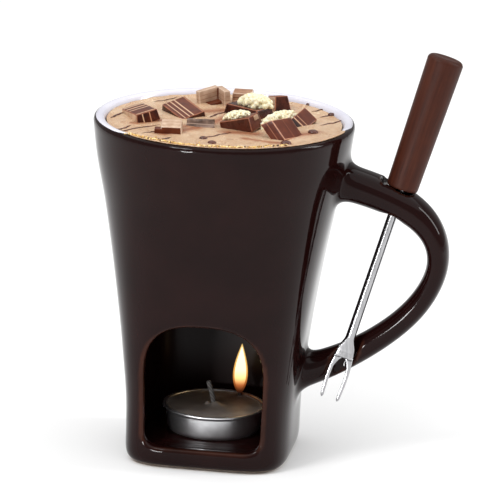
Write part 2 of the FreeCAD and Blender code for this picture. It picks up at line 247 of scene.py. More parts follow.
def along_fork(x, y, z):
    """Height above the fork's seat along its axis, and distance from that axis."""
    dx, dy, dz = x - FORK_SEAT[0], y - FORK_SEAT[1], z - FORK_SEAT[2]
    height = dx * FORK_UP[0] + dy * FORK_UP[1] + dz * FORK_UP[2]
    reach = np.sqrt(np.maximum(dx ** 2 + dy ** 2 + dz ** 2 - height ** 2, 0))
    return height, reach


# how softly the forms meet
RIM_EASE = 3.6
FOOT_EASE = 7.5
HANDLE_EASE = 8.0
CHAMBER_EASE = 2.0
MOUTH_EASE = 3.4
SEAT_DEPTH = 14


def mug_field(x, y, z):
    """The glazed mug with its handle, as a distance field that is negative inside the clay."""
    form = both(lofted(x, y, z, BODY_SECTIONS), z - MUG_HEIGHT, RIM_EASE)
    form = both(form, -z, FOOT_EASE)
    form = merge(form, handle_field(x, y, z), HANDLE_EASE)
    form = carve(form, bowl_field(x, y, z), RIM_EASE)
    form = carve(form, chamber_field(x, y, z), CHAMBER_EASE)
    form = carve(form, mouth_field(x, y, z), MOUTH_EASE)
    height, reach = along_fork(x, y, z)
    form = carve(form, reach - FORK_HOLE_RADIUS, 1.2)
    spot_face = both(reach - SEAT_RADIUS, -height, 0.0)
    return carve(form, np.maximum(spot_face, height - SEAT_DEPTH), 1.0)


def gradient(field, points, step):
    slopes = []
    for axis in np.eye(3) * step:
        ahead, behind = points + axis, points - axis
        slopes.append((field(*ahead.T) - field(*behind.T)) / (2 * step))
    return np.stack(slopes, -1)


def surface_of(field, low, high, step):
    """Quads over a field's zero surface, each corner then moved onto the exact surface."""
    axes = [np.arange(low[i], high[i] + step, step) for i in range(3)]
    x, y, z = np.ix_(*axes)
    grid = openvdb.FloatGrid(3.0 * step)
    grid.copyFromArray(np.ascontiguousarray(field(x, y, z), dtype=np.float32))
    points, quads = grid.convertToQuads(0.0)
    points = points.astype(float) * step + np.array(low)
    for _ in range(3):
        slope = gradient(field, points, 0.05)
        value = field(*points.T)
        move = slope * (value / np.maximum((slope ** 2).sum(1), 1e-3))[:, None]
        length = np.linalg.norm(move, axis=1, keepdims=True)
        points -= move * np.minimum(1, 0.6 * step / np.maximum(length, 1e-9))
    return points, quads[:, ::-1]


# in degrees: the middle of the front, how far the froth covers the lip each side of it, and its fade
FRONT_BEARING = -69
FRONT_COVERED = 57
FRONT_FADE = 13


def front_share(angle):
    """1 towards the front of the rim, where the froth covers the lip, and 0 round the sides and back."""
    off = np.abs((np.degrees(angle) - FRONT_BEARING + 180) % 360 - 180)
    t = np.clip((off - FRONT_COVERED) / FRONT_FADE, 0, 1)
    return 1 - t * t * (3 - 2 * t)


# ---------------------------------------------------------------- pieces

def show(thing):
    bpy.context.scene.collection.objects.link(thing)


def new_piece(name, points, faces, material, body, replaced=(), smooth=True):
    """A mesh piece in metres from points in millimetres, riding on a CAD body."""
    mesh = bpy.data.meshes.new(name)
    mesh.from_pydata((np.asarray(points, float) * MM).tolist(), [], np.asarray(faces).tolist()
                     if isinstance(faces, np.ndarray) else [list(face) for face in faces])
    mesh.validate()
    mesh.materials.append(material)
    mesh.polygons.foreach_set("use_smooth", [smooth] * len(mesh.polygons))
    piece = bpy.data.objects.new(name, mesh)
    show(piece)
    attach(piece, body)
    if replaced:
        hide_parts(*replaced)
    return piece


def point_values(piece, name, values):
    """Stores a number per vertex for the piece's material to read."""
    attribute = piece.data.attributes.new(name, "FLOAT", "POINT")
    attribute.data.foreach_set("value", np.asarray(values, np.float32))


def point_vectors(piece, name, points):
    """Stores a vector per vertex for the piece's material to read."""
    attribute = piece.data.attributes.new(name, "FLOAT_VECTOR", "POINT")
    attribute.data.foreach_set("vector", np.asarray(points, np.float32).ravel())


def gather(points, faces, more_points, more_faces):
    """Adds one part's points and faces to the lists of a whole piece."""
    offset = len(points)
    points += more_points.tolist()
    faces += [[offset + i for i in face] for face in more_faces]


def revolved(profile, count):
    """Points and faces of a profile of (radius, z) turned round Z. An end on the axis closes to one point."""
    points, faces, rings = [], [], []
    for radius, z in profile:
        if radius < 1e-6:
            rings.append([len(points)] * count)
            points.append((0.0, 0.0, z))
            continue
        rings.append(list(range(len(points), len(points) + count)))
        for i in range(count):
            angle = 2 * math.pi * i / count
            points.append((radius * math.cos(angle), radius * math.sin(angle), z))
    for lower, upper in zip(rings[:-1], rings[1:]):
        for i in range(count):
            j = (i + 1) % count
            face = list(dict.fromkeys([lower[i], lower[j], upper[j], upper[i]]))
            if len(face) > 2:
                faces.append(face)
    return np.array(points), faces


# ---------------------------------------------------------------- materials

def new_material(name):
    """An empty node material: its shader, and a function that adds a node with some settings."""
    material = bpy.data.materials.new(name)
    material.use_nodes = True
    tree = material.node_tree
    shader = tree.nodes["Principled BSDF"]

    def add(kind, inputs=None, **settings):
        node = tree.nodes.new(kind)
        for key, value in settings.items():
            setattr(node, key, value)
        for key, value in (inputs or {}).items():
            if isinstance(value, bpy.types.NodeSocket):
                tree.links.new(value, node.inputs[key])
            else:
                node.inputs[key].default_value = value
        return node

    def link(source, key):
        tree.links.new(source, shader.inputs[key])

    return material, shader, add, link


def ramp(add, source, stops):
    """Colour ramp over (place, colour) stops."""
    node = add("ShaderNodeValToRGB", {"Fac": source})
    elements = node.color_ramp.elements
    elements[0].position, elements[0].color = stops[0][0], (*stops[0][1], 1)
    elements[1].position, elements[1].color = stops[-1][0], (*stops[-1][1], 1)
    for place, colour in stops[1:-1]:
        elements.new(place).color = (*colour, 1)
    return node.outputs["Color"]


def mix_colour(add, share, first, second):
    """Mixes two colours, each a socket or an RGB."""
    node = add("ShaderNodeMix", data_type="RGBA")
    tree = node.id_data
    for socket, value in ((node.inputs[0], share), (node.inputs[6], first), (node.inputs[7], second)):
        if isinstance(value, bpy.types.NodeSocket):
            tree.links.new(value, socket)
        elif isinstance(value, (int, float)):
            socket.default_value = value
        else:
            socket.default_value = (*value, 1)
    return node.outputs[2]


def bump(add, height, distance, strength=1.0):
    """Normal from a height socket; distance is in millimetres."""
    settings = {"Height": height, "Distance": distance * MM, "Strength": strength}
    return add("ShaderNodeBump", settings).outputs["Normal"]


def scaled(add, value, low, high, start=0.0, end=1.0):
    """A value from start to end brought to the range from low to high."""
    settings = {"Value": value, "From Min": start, "From Max": end, "To Min": low, "To Max": high}
    return add("ShaderNodeMapRange", settings).outputs["Result"]


def stretched(add, place, along):
    """Place squeezed along Z, so that a noise read there runs in lines along Z."""
    return add("ShaderNodeMapping", {"Vector": place, "Scale": (1.0, 1.0, along)}).outputs["Vector"]


def maths(add, first, second, operation):
    return add("ShaderNodeMath", {0: first, 1: second}, operation=operation).outputs["Value"]


def object_place(add):
    return add("ShaderNodeTexCoord").outputs["Object"]


def noise_of(add, place, scale, detail=3.0, roughness=0.5):
    settings = {"Vector": place, "Scale": scale, "Detail": detail, "Roughness": roughness}
    return add("ShaderNodeTexNoise", settings).outputs["Fac"]


def stored(add, name):
    """A number stored per vertex."""
    return add("ShaderNodeAttribute", attribute_name=name).outputs["Fac"]


def stored_vector(add, name):
    return add("ShaderNodeAttribute", attribute_name=name).outputs["Vector"]


def brown_glaze():
    """Nearly black brown glaze, redder over convex edges: partly the glaze running thin there, partly a
    painted highlight on the rounded edges.
    """
    material, shader, add, link = new_material("brown_glaze")
    place = object_place(add)
    cloud = noise_of(add, place, 60.0)
    body = ramp(add, cloud, [(0.35, (0.0080, 0.0019, 0.0017)), (0.70, (0.0112, 0.0029, 0.0026))])
    # thin: the redder tone over convex edges, partly thin glaze and partly a painted highlight
    thin = ramp(add, cloud, [(0.30, (0.016, 0.0050, 0.003)), (0.75, (0.042, 0.013, 0.0075))])
    glazed = mix_colour(add, stored(add, "edge"), body, thin)
    clay = ramp(add, noise_of(add, place, 900.0), [(0.3, (0.30, 0.22, 0.16)), (0.7, (0.45, 0.35, 0.27))])
    link(mix_colour(add, stored(add, "foot"), glazed, clay), "Base Color")
    bare = maths(add, stored(add, "foot"), 0.7, "MULTIPLY")
    soot = maths(add, stored(add, "sooty"), 0.45, "MULTIPLY")
    dull = maths(add, scaled(add, cloud, 0.045, 0.085), soot, "ADD")
    link(maths(add, dull, bare, "ADD"), "Roughness")
    link(bump(add, noise_of(add, place, 260.0, 2.0), 0.010, 0.35), "Normal")
    shader.inputs["IOR"].default_value = 1.5
    shader.inputs["Specular IOR Level"].default_value = 0.13
    return material


def cloudy(name, scale, stops, relief, **settings):
    """Material whose colour drifts between stops, with fine relief and fixed shader settings.

    relief is depth in millimetres and strength, then scale and detail where it isn't the colour's own noise.
    """
    material, shader, add, link = new_material(name)
    place = object_place(add)
    tone = noise_of(add, place, scale)
    link(ramp(add, tone, stops), "Base Color")
    depth, strength, *own = relief
    link(bump(add, noise_of(add, place, *own) if own else tone, depth, strength), "Normal")
    for key, value in settings.items():
        shader.inputs[key.replace("_", " ").title()].default_value = value
    return material


def white_glaze():
    return cloudy("white_glaze", 70.0, [(0.3, (0.66, 0.65, 0.74)), (0.7, (0.76, 0.75, 0.82))],
                  (0.008, 0.3, 320.0, 2.0), roughness=0.12)


def wax():
    # wax painted dark grey-brown: the colour stands in for the shade inside the chamber, the wax itself being
    # white
    return cloudy("candle_wax", 160.0, [(0.3, (0.20, 0.165, 0.145)), (0.7, (0.29, 0.245, 0.215))],
                  (0.03, 0.4, 900.0), roughness=0.42, subsurface_weight=0.25,
                  subsurface_radius=(0.0030, 0.0020, 0.0012))


def burnt_wick():
    return cloudy("burnt_wick", 1500.0, [(0.3, (0.010, 0.008, 0.007)), (0.7, (0.035, 0.028, 0.024))],
                  (0.10, 0.8), roughness=0.9)


def tinned_steel():
    return cloudy("tinned_steel", 800.0, [(0.3, (0.50, 0.50, 0.50)), (0.7, (0.68, 0.68, 0.67))],
                  (0.02, 0.4), metallic=1.0, roughness=0.35)


def white_crisps():
    return cloudy("white_crisps", 900.0,
                  [(0.30, (0.62, 0.50, 0.26)), (0.48, (0.83, 0.76, 0.52)), (0.70, (0.92, 0.89, 0.72))],
                  (0.12, 0.5, 2200.0), roughness=0.5, subsurface_weight=0.2,
                  subsurface_radius=(0.0012, 0.0010, 0.0006))


def wet_chocolate():
    return cloudy("melted_chocolate", 260.0, [(0.3, (0.050, 0.012, 0.007)), (0.7, (0.120, 0.032, 0.017))],
                  (0.10, 0.3), roughness=0.18)


def foil():
    """Pressed aluminium with fine crinkles."""
    material, shader, add, link = new_material("tealight_foil")
    place = object_place(add)
    tone = noise_of(add, place, 300.0)
    link(ramp(add, tone, [(0.3, (0.78, 0.78, 0.80)), (0.7, (0.90, 0.90, 0.92))]), "Base Color")
    link(bump(add, noise_of(add, stretched(add, place, 0.15), 700.0, 2.0), 0.03, 0.5), "Normal")
    shader.inputs["Metallic"].default_value = 1.0
    shader.inputs["Roughness"].default_value = 0.36
    return material


def wick_cotton():
    material, shader, add, link = new_material("wick_cotton")
    place = object_place(add)
    braid = add("ShaderNodeTexWave", {"Vector": place, "Scale": 420.0, "Distortion": 2.0},
                bands_direction="DIAGONAL").outputs["Fac"]
    link(ramp(add, braid, [(0.2, (0.06, 0.055, 0.052)), (0.8, (0.15, 0.14, 0.135))]), "Base Color")
    link(bump(add, braid, 0.12, 0.7), "Normal")
    shader.inputs["Roughness"].default_value = 0.75
    return material


def flame_material(name, core, strength, see_through):
    """Glow that runs from a dark base through orange to a pale tip along the flame's height."""
    material, shader, add, link = new_material(name)
    height = stored(add, "height")
    link(ramp(add, height, core), "Emission Color")
    link(scaled(add, height, 0.1, strength, end=0.3), "Emission Strength")
    shader.inputs["Base Color"].default_value = (0, 0, 0, 1)
    shader.inputs["Specular IOR Level"].default_value = 0.0
    shader.inputs["Alpha"].default_value = 1 - see_through
    return material


def stainless():
    """Drawn and polished steel with fine lines along the fork."""
    material, shader, add, link = new_material("fork_steel")
    grain = noise_of(add, stretched(add, object_place(add), 0.03), 2600.0)
    link(ramp(add, grain, [(0.3, (0.32, 0.32, 0.33)), (0.7, (0.46, 0.46, 0.47))]), "Base Color")
    link(scaled(add, grain, 0.10, 0.26), "Roughness")
    link(bump(add, grain, 0.006, 0.4), "Normal")
    shader.inputs["Metallic"].default_value = 1.0
    return material


def stained_wood():
    """Close-grained beech under a red-brown stain and satin varnish."""
    material, shader, add, link = new_material("grip_wood")
    place = stored_vector(add, "along")
    grain = noise_of(add, stretched(add, place, 0.06), 0.9, 5.0, 0.6)
    patches = noise_of(add, place, 0.16, 2.0)
    tone = ramp(add, grain, [(0.25, (0.026, 0.0060, 0.0030)), (0.50, (0.042, 0.0100, 0.0048)),
                             (0.80, (0.064, 0.0170, 0.0080))])
    reddish = scaled(add, patches, 0.0, 0.5, 0.45, 0.75)
    link(mix_colour(add, reddish, tone, (0.056, 0.0120, 0.0046)), "Base Color")
    link(bump(add, grain, 0.05, 0.35), "Normal")
    shader.inputs["Roughness"].default_value = 0.48
    shader.inputs["Specular IOR Level"].default_value = 0.16
    return material


# ---------------------------------------------------------------- the mug

def build_mug(material):
    """Body and handle in one skin, with the convex edges marked for a redder glaze (partly thin glaze, partly
    a painted highlight), the bare foot and the sooty chamber.
    """
    margin = 3.0
    low = np.array((-50.0, -50.0, 0.0)) - margin
    high = np.array((89.0, 50.0, MUG_HEIGHT)) + margin
    points, quads = surface_of(mug_field, low, high, MUG_STEP)
    piece = new_piece("mug_shell", points, quads, material, "mug", ("mug_body", "mug_handle"))
    reach = 0.7
    around = sum(mug_field(*(points + shift).T) for axis in np.eye(3) * reach for shift in (axis, -axis))
    roundness = (around - 6 * mug_field(*points.T)) / reach ** 2
    # edge: convex curvature below the rim, painted redder as thin glaze and as a painted highlight
    below_rim = np.clip((118.0 - points[:, 2]) / 6.0, 0, 1)
    point_values(piece, "edge", np.clip((roundness - 0.36) / 0.16, 0, 1) * below_rim)
    point_values(piece, "foot", np.clip((0.9 - points[:, 2]) / 0.3, 0, 1))
    depth = np.clip(-chamber_field(*points.T) + 0.6, 0, 1) * (points[:, 2] > CHAMBER_FLOOR_Z + 1.5)
    point_values(piece, "sooty", depth * np.clip((points[:, 1] + 24.0) / 8.0, 0, 1))
    return piece


LIP_MIDDLE = (47.6, MUG_HEIGHT - 2.6)
LINING_START = 62
LINING_START_FRONT = 112


def lip_reach(angle):
    """How far the glaze lies from the middle of the lip, at this angle above the outward level."""
    near, far = 0.0, 6.0
    for _ in range(30):
        half = (near + far) / 2
        x = np.array([LIP_MIDDLE[0] + half * math.cos(angle)])
        z = np.array([LIP_MIDDLE[1] + half * math.sin(angle)])
        if mug_field(x, np.zeros(1), z)[0] < 0:
            near = half
        else:
            far = half
    return near


def build_lining(material):
    """White coat from the crest of the lip, down the wall and over the bowl's floor.

    Round the front it starts further in, where the brown glaze runs over the lip.
    """
    coat, around, lip_rows = 0.30, 220, 25
    profile = [(50.0 - 0.1 * row, 0.0) for row in range(lip_rows)]
    for z in np.linspace(LIP_MIDDLE[1] - 1.2, 76.0, 40):
        profile.append((bowl_radius(np.array([z]))[0] - 0.45, z))
    corner_top, corner_low = bowl_radius(np.array([76.0]))[0] - 0.45, BOWL_FLOOR_Z + 0.5
    turn = 10.0
    for step in range(1, 13):
        angle = math.radians(90 * step / 12)
        height = 76.0 - (76.0 - corner_low) * math.sin(angle)
        profile.append((corner_top - turn * (1 - math.cos(angle)), height))
    profile.append((0.0, corner_low))
    points, faces = revolved(profile, around)

    known = np.radians(np.linspace(LINING_START, 180, 60))
    reaches = np.array([lip_reach(angle) for angle in known])
    bearing = 2 * math.pi * np.arange(around) / around
    start = LINING_START + (LINING_START_FRONT - LINING_START) * front_share(bearing)
    share = np.linspace(0, 1, lip_rows)[:, None]
    angle = np.radians(start + (180 - start) * share)
    reach = np.interp(angle, known, reaches) + coat * np.minimum(1, share * 6) - 0.02
    radius = LIP_MIDDLE[0] + reach * np.cos(angle)
    height = LIP_MIDDLE[1] + reach * np.sin(angle)
    lip = np.stack([radius * np.cos(bearing), radius * np.sin(bearing), height], -1)
    points[:lip_rows * around] = lip.reshape(-1, 3)
    return new_piece("white_lining", points, faces, material, "mug", ("inner_glaze",))


# ---------------------------------------------------------------- the tea light

candle_low, candle_high = cad_box("tealight_cup")
CANDLE_CENTRE = (candle_low + candle_high) / 2
CANDLE_BASE_Z = candle_low[2]
CANDLE_HEIGHT = candle_high[2] - candle_low[2]
CANDLE_LIP_RADIUS = (candle_high[0] - candle_low[0]) / 2
CANDLE_TOP_RADIUS = 18.7
CANDLE_BASE_RADIUS = 17.9


def candle_points(points):
    return points + np.array((CANDLE_CENTRE[0], CANDLE_CENTRE[1], CANDLE_BASE_Z))


def build_candle_cup(material):
    """Thin pressed cup: flat base with a step, tapered side and a rolled lip."""
    foil_gauge = 0.35
    top, low_radius, high_radius = CANDLE_HEIGHT, CANDLE_BASE_RADIUS, CANDLE_TOP_RADIUS
    lip = CANDLE_LIP_RADIUS
    outside = [(0.0, 0.35), (low_radius - 4.0, 0.35), (low_radius - 3.0, 0.0), (low_radius - 1.3, 0.0),
               (low_radius - 0.5, 0.35), (low_radius - 0.1, 1.1), (low_radius + 0.05, 1.9)]
    for share in np.linspace(0.1, 1.0, 8):
        outside.append((low_radius + 0.05 + (high_radius - low_radius) * share, 1.9 + (top - 2.9) * share))
    roll = [(lip - 0.45, top - 0.85), (lip - 0.12, top - 0.72), (lip, top - 0.45), (lip - 0.15, top - 0.12),
            (lip - 0.5, top), (high_radius + 0.1, top - 0.05), (high_radius - 0.2, top - 0.2)]
    inside = [(radius - foil_gauge, z) for radius, z in outside[::-1] if z > 1.5]
    inside += [(low_radius - 2.0, 0.35 + foil_gauge), (0.0, 0.35 + foil_gauge)]
    points, faces = revolved(outside + roll + inside, 180)
    angle = np.arctan2(points[:, 1], points[:, 0])
    share = np.clip(points[:, 2] / top, 0, 1)
    ripple = 1 + 0.0022 * share * (np.sin(7 * angle + 0.6) + 0.6 * np.sin(19 * angle + 2.0))
    points[:, :2] *= ripple[:, None]
    new_piece("tealight_foil_cup", candle_points(points), faces, material, "tea_light",
              ("tealight_cup",))


LIT_WICK = np.array((7.6, 14.2))
WAX_TOP = CANDLE_HEIGHT - 0.8


def wax_height(x, y):
    """Surface of the wax: hollowed a little, climbing the foil, the middle wick and the lit one."""
    radius = np.hypot(x, y)
    edge = 0.45 * np.exp(-(CANDLE_TOP_RADIUS - 0.4 - radius) / 0.7)
    mound = 1.5 * np.exp(-(np.hypot(x - 0.3, y) / 2.2) ** 2)
    mound += 0.45 * np.exp(-(np.hypot(x - 1.6, y + 0.6) / 4.0) ** 2)
    second = 0.5 * np.exp(-(np.hypot(x - LIT_WICK[0], y - LIT_WICK[1]) / 1.5) ** 2)
    bead = 1.1 * np.exp(-(np.hypot(x + 2.9, y - 0.8) / 0.95) ** 4)
    sag = -0.25 * np.clip(1 - (radius / 15) ** 2, 0, 1)
    ripple = 0.06 * np.sin(0.9 * x + 0.4) * np.sin(0.7 * y + 1.3)
    return WAX_TOP + edge + mound + second + bead + sag + ripple


def build_wax(material):
    wall = 0.4
    top_radius = CANDLE_TOP_RADIUS - wall - 0.05
    profile = [(0.0, 0.8), (CANDLE_BASE_RADIUS - 2.2, 0.8), (CANDLE_BASE_RADIUS - 0.9, 1.6)]
    profile.append((top_radius, WAX_TOP))
    rings = np.linspace(top_radius, 0.0, 70)[1:]
    profile += [(radius, WAX_TOP) for radius in rings]
    points, faces = revolved(profile, 144)
    top = points[:, 2] > WAX_TOP - 0.01
    points[top, 2] = wax_height(points[top, 0], points[top, 1])
    return new_piece("tealight_wax_fill", candle_points(points), faces, material, "tea_light",
                     ("tealight_wax",))


def tube(path, radii, around=16):
    """Round tube through 3D points with a radius at each, closed by rounded ends."""
    path = np.asarray(path, float)
    along = np.gradient(path, axis=0)
    along /= np.linalg.norm(along, axis=1, keepdims=True)
    side = np.cross(along[0], (0.0, 1.0, 0.0))
    points, faces = [], []
    for i, centre in enumerate(path):
        side = side - along[i] * (side @ along[i])
        side /= np.linalg.norm(side)
        other = np.cross(along[i], side)
        for k in range(around):
            angle = 2 * math.pi * k / around
            points.append(centre + radii[i] * (side * math.cos(angle) + other * math.sin(angle)))
    for i in range(len(path) - 1):
        for k in range(around):
            j = (k + 1) % around
            faces.append([i * around + k, i * around + j, (i + 1) * around + j, (i + 1) * around + k])
    faces.append(list(range(around))[::-1])
    faces.append(list(range((len(path) - 1) * around, len(path) * around)))
    return np.array(points), faces


def build_wicks(cotton, burnt):
    share = np.linspace(0, 1, 26)
    start = WAX_TOP - 1.5
    path = np.stack([-0.3 * share - 2.5 * share ** 1.6, 0.5 * share, start + 11.0 * share], -1)
    ends = np.clip(np.minimum(share, 1 - share) / 0.03, 0.35, 1) ** 0.5
    radii = (1.02 - 0.12 * share + 0.05 * np.sin(share * 34)) * ends
    points, faces = tube(path, radii, 20)
    new_piece("middle_wick", candle_points(points), faces, cotton, "tea_light", ("wick",))
    across = LIT_WICK[0] + 0.25 * share ** 2
    path = np.stack([across, LIT_WICK[1] + 0 * share, WAX_TOP - 1.0 + 5.0 * share], -1)
    radii = (0.72 - 0.10 * share + 0.05 * np.sin(share * 21)) * ends
    points, faces = tube(path, radii, 14)
    new_piece("burning_wick", candle_points(points), faces, burnt, "tea_light", ("lit_wick",))


def build_flame(name, material, scale, height, base):
    """Teardrop flame; each vertex stores its share of the height."""
    profile = []
    for share in np.linspace(0, 1, 44):
        swell = math.sin(math.pi * share ** 0.76) ** 0.92 * (1 - 0.12 * share)
        profile.append((max(scale * swell, 0.0 if share in (0, 1) else 0.02), height * share))
    points, faces = revolved(profile, 40)
    share = points[:, 2] / height
    points[:, 0] += 0.35 * share ** 2 + LIT_WICK[0]
    points[:, 1] += LIT_WICK[1]
    points[:, 2] += base
    piece = new_piece(name, candle_points(points), faces, material, "tea_light")
    point_values(piece, "height", share)
    return piece


# ---------------------------------------------------------------- the fork

GRIP_LENGTH = 52.8
ROD_RADIUS = 1.85
ROD_LENGTH = 60.5
HEAD_THICKNESS = 1.5
SHOULDER_LENGTH = 5.6
HEAD_HALF_WIDTH = 3.3
CROTCH = 69.3
TIP = 86.0
TINE_WIDTH = 1.7
TIP_SPREAD = 3.7


def on_fork(points):
    """From the fork's own frame (spread, across, up from the seat) to the mug's frame."""
    points = np.asarray(points, float)
    return FORK_SEAT + points[:, :1] * FORK_SPREAD + points[:, 1:2] * FORK_ACROSS + points[:, 2:] * FORK_UP


def build_grip(material):
    """Turned grip: small round at the foot, slow swell, rounded crown with a shallow dish."""
    foot, top = 6.1, 7.0
    profile = [(0.0, 0.06), (foot - 0.9, 0.06), (foot - 0.35, 0.2), (foot - 0.08, 0.55)]
    for share in np.linspace(0.03, 0.955, 34):
        profile.append((foot + (top - foot) * share, GRIP_LENGTH * share))
    crown = 2.0
    for step in range(1, 9):
        angle = math.radians(90 * step / 8)
        profile.append((top - crown * (1 - math.cos(angle)), GRIP_LENGTH - crown * (1 - math.sin(angle))))
    profile += [(top - 2.6, GRIP_LENGTH - 0.05), (top - 3.6, GRIP_LENGTH - 0.28), (0.0, GRIP_LENGTH - 0.35)]
    points, faces = revolved(profile, 96)
    piece = new_piece("turned_grip", on_fork(points), faces, material, "fork", ("fork_grip",))
    point_vectors(piece, "along", points)
    return piece


def head_half_profile():
    """Rows down one half of the head: height, and how far the metal runs from and to across the spread."""
    rows = []
    for share in np.linspace(0, 1, 46):
        z = -ROD_LENGTH - (TIP - ROD_LENGTH) * share
        wide = -ROD_LENGTH - SHOULDER_LENGTH
        if z > wide:
            t = (-ROD_LENGTH - z) / SHOULDER_LENGTH
            outer = ROD_RADIUS + (HEAD_HALF_WIDTH - ROD_RADIUS) * (3 * t * t - 2 * t ** 3)
        else:
            t = (wide - z) / (TIP + wide)
            outer = HEAD_HALF_WIDTH + (TIP_SPREAD - HEAD_HALF_WIDTH) * t
            outer += 0.75 * math.sin(math.pi * t ** 0.9)
        inner = 0.0
        if z < -CROTCH:
            t = (-CROTCH - z) / (TIP - CROTCH)
            narrow = TINE_WIDTH * (1 - 0.28 * t)
            inner = min(outer - narrow, math.sqrt(t) * 5.2)
        rows.append((z, inner, outer))
    return rows


def build_fork_metal(material):
    """Round rod that flattens into the two-pronged head, one closed mesh."""
    around = 28
    mesh = bmesh.new()

    def ring(z, centre, half_x, half_y, square):
        corners = []
        for k in range(around):
            angle = 2 * math.pi * k / around
            c, s = math.cos(angle), math.sin(angle)
            x = half_x * math.copysign(abs(c) ** (2 / square), c)
            y = half_y * math.copysign(abs(s) ** (2 / square), s)
            corners.append(mesh.verts.new((centre + x, y, z)))
        return corners

    def skin(rings):
        for upper, lower in zip(rings[:-1], rings[1:]):
            for k in range(around):
                j = (k + 1) % around
                mesh.faces.new((upper[k], upper[j], lower[j], lower[k]))

    stem = [ring(z, 0.0, ROD_RADIUS, ROD_RADIUS, 2.0) for z in np.linspace(12.0, -ROD_LENGTH + 4.0, 30)]
    rows = head_half_profile()
    plate = []
    for z, inner, outer in rows:
        if inner > 0:
            break
        t = min(1.0, (-ROD_LENGTH - z) / SHOULDER_LENGTH)
        flat = ROD_RADIUS + (HEAD_THICKNESS / 2 - ROD_RADIUS) * t
        plate.append(ring(z, 0.0, outer, flat, 2.0 + 2.0 * t))
    skin(stem + plate)
    mesh.faces.new(stem[0])
    last = plate[-1]
    for sign in (1, -1):
        tine = []
        below = [row for row in rows if row[1] > 0]
        for number, (z, inner, outer) in enumerate(below):
            t = number / (len(below) - 1)
            half_y = HEAD_THICKNESS / 2 * (1 - 0.25 * t)
            tip_round = math.sqrt(max(0.0, 1 - max(0.0, (t - 0.93) / 0.07) ** 2))
            half_x = (outer - inner) / 2 * max(tip_round, 0.25)
            tine.append(ring(z, sign * (inner + outer) / 2, half_x, half_y * max(tip_round, 0.25), 3.2))
        skin(tine)
        mesh.faces.new(tine[-1][::-1])
        start_z = below[0][0] + (rows[1][0] - rows[0][0]) * -2.2
        root = ring(start_z, sign * below[0][2] / 2, below[0][2] / 2 * 0.96, HEAD_THICKNESS / 2 * 0.96, 3.2)
        skin([root, tine[0]])
        mesh.faces.new(root)
    mesh.faces.new(last[::-1])
    bmesh.ops.recalc_face_normals(mesh, faces=mesh.faces)
    local = np.array([vertex.co for vertex in mesh.verts])
    mesh.verts.index_update()
    faces = [[vertex.index for vertex in face.verts] for face in mesh.faces]
    mesh.free()
    piece = new_piece("fork_metal", on_fork(local), faces, material, "fork", ("fork_tines",))
    point_vectors(piece, "along", local)
    return piece


# ---------------------------------------------------------------- the filling

froth_low, froth_high = cad_box("fondue_froth")
FROTH_Z = froth_high[2]
FROTH_LOW_Z = froth_low[2]
LAYOUT_TURN = math.radians(-2.4)
LIP_CREST_RADIUS = 47.9


def turned(points, angle):
    """Points turned about the mug's axis."""
    x, y, z = np.asarray(points, float).T
    c, s = math.cos(angle), math.sin(angle)
    return np.stack([x * c - y * s, x * s + y * c, z], -1)


def fine_noise(x, y, size, seed=0.0):
    return np.array([noise.noise((a / size + seed, b / size - seed, seed)) for a, b in zip(x, y)])


def froth_height(x, y):
    """Surface of the froth: nearly level, with soft dips, creeping over the lip at the front."""
    radius, angle = np.hypot(x, y), np.arctan2(y, x)
    wave = 0.16 * np.sin(0.16 * x + 1.0) * np.sin(0.21 * y) + 0.07 * np.sin(0.6 * x + 0.3 * y)
    wall = 0.5 * np.clip((radius - 42.0) / 2.6, 0, 1) ** 2
    over = front_share(angle) * np.clip((radius - 41.0) / (LIP_CREST_RADIUS - 41.0), 0, 1.3)
    climb = (MUG_HEIGHT + 0.35 - FROTH_Z) * (3 * over ** 2 - 2 * over ** 3)
    return FROTH_Z + wave + wall * (1 - front_share(angle)) + np.maximum(climb, 0)


def distance_to_run(x, y, start, end):
    run = np.array(end) - np.array(start)
    t = np.clip(((x - start[0]) * run[0] + (y - start[1]) * run[1]) / (run @ run), 0, 1)
    return np.hypot(x - start[0] - t * run[0], y - start[1] - t * run[1]), t


# start, end and width of each red-brown streak in the froth: partly melted chocolate drawn through it, partly
# painted shade beside the chocolate pieces
SMEARS = [
    ((-18.5, -24.0), (-9.4, -12.8), 2.4), ((-9.4, -12.8), (-2.6, 4.0), 2.8), ((-2.6, 4.0), (0.6, 16.2), 2.2),
    ((-17.6, -16.5), (-4.3, -0.6), 1.8), ((4.0, -13.5), (14.5, -13.0), 3.2),
    ((-33.0, -12.0), (-23.0, -4.0), 1.8), ((-10.0, 16.0), (6.0, 27.0), 3.0),
    ((12.0, -22.0), (30.0, -24.0), 1.5), ((28.0, -14.0), (36.0, -2.0), 2.0),
]


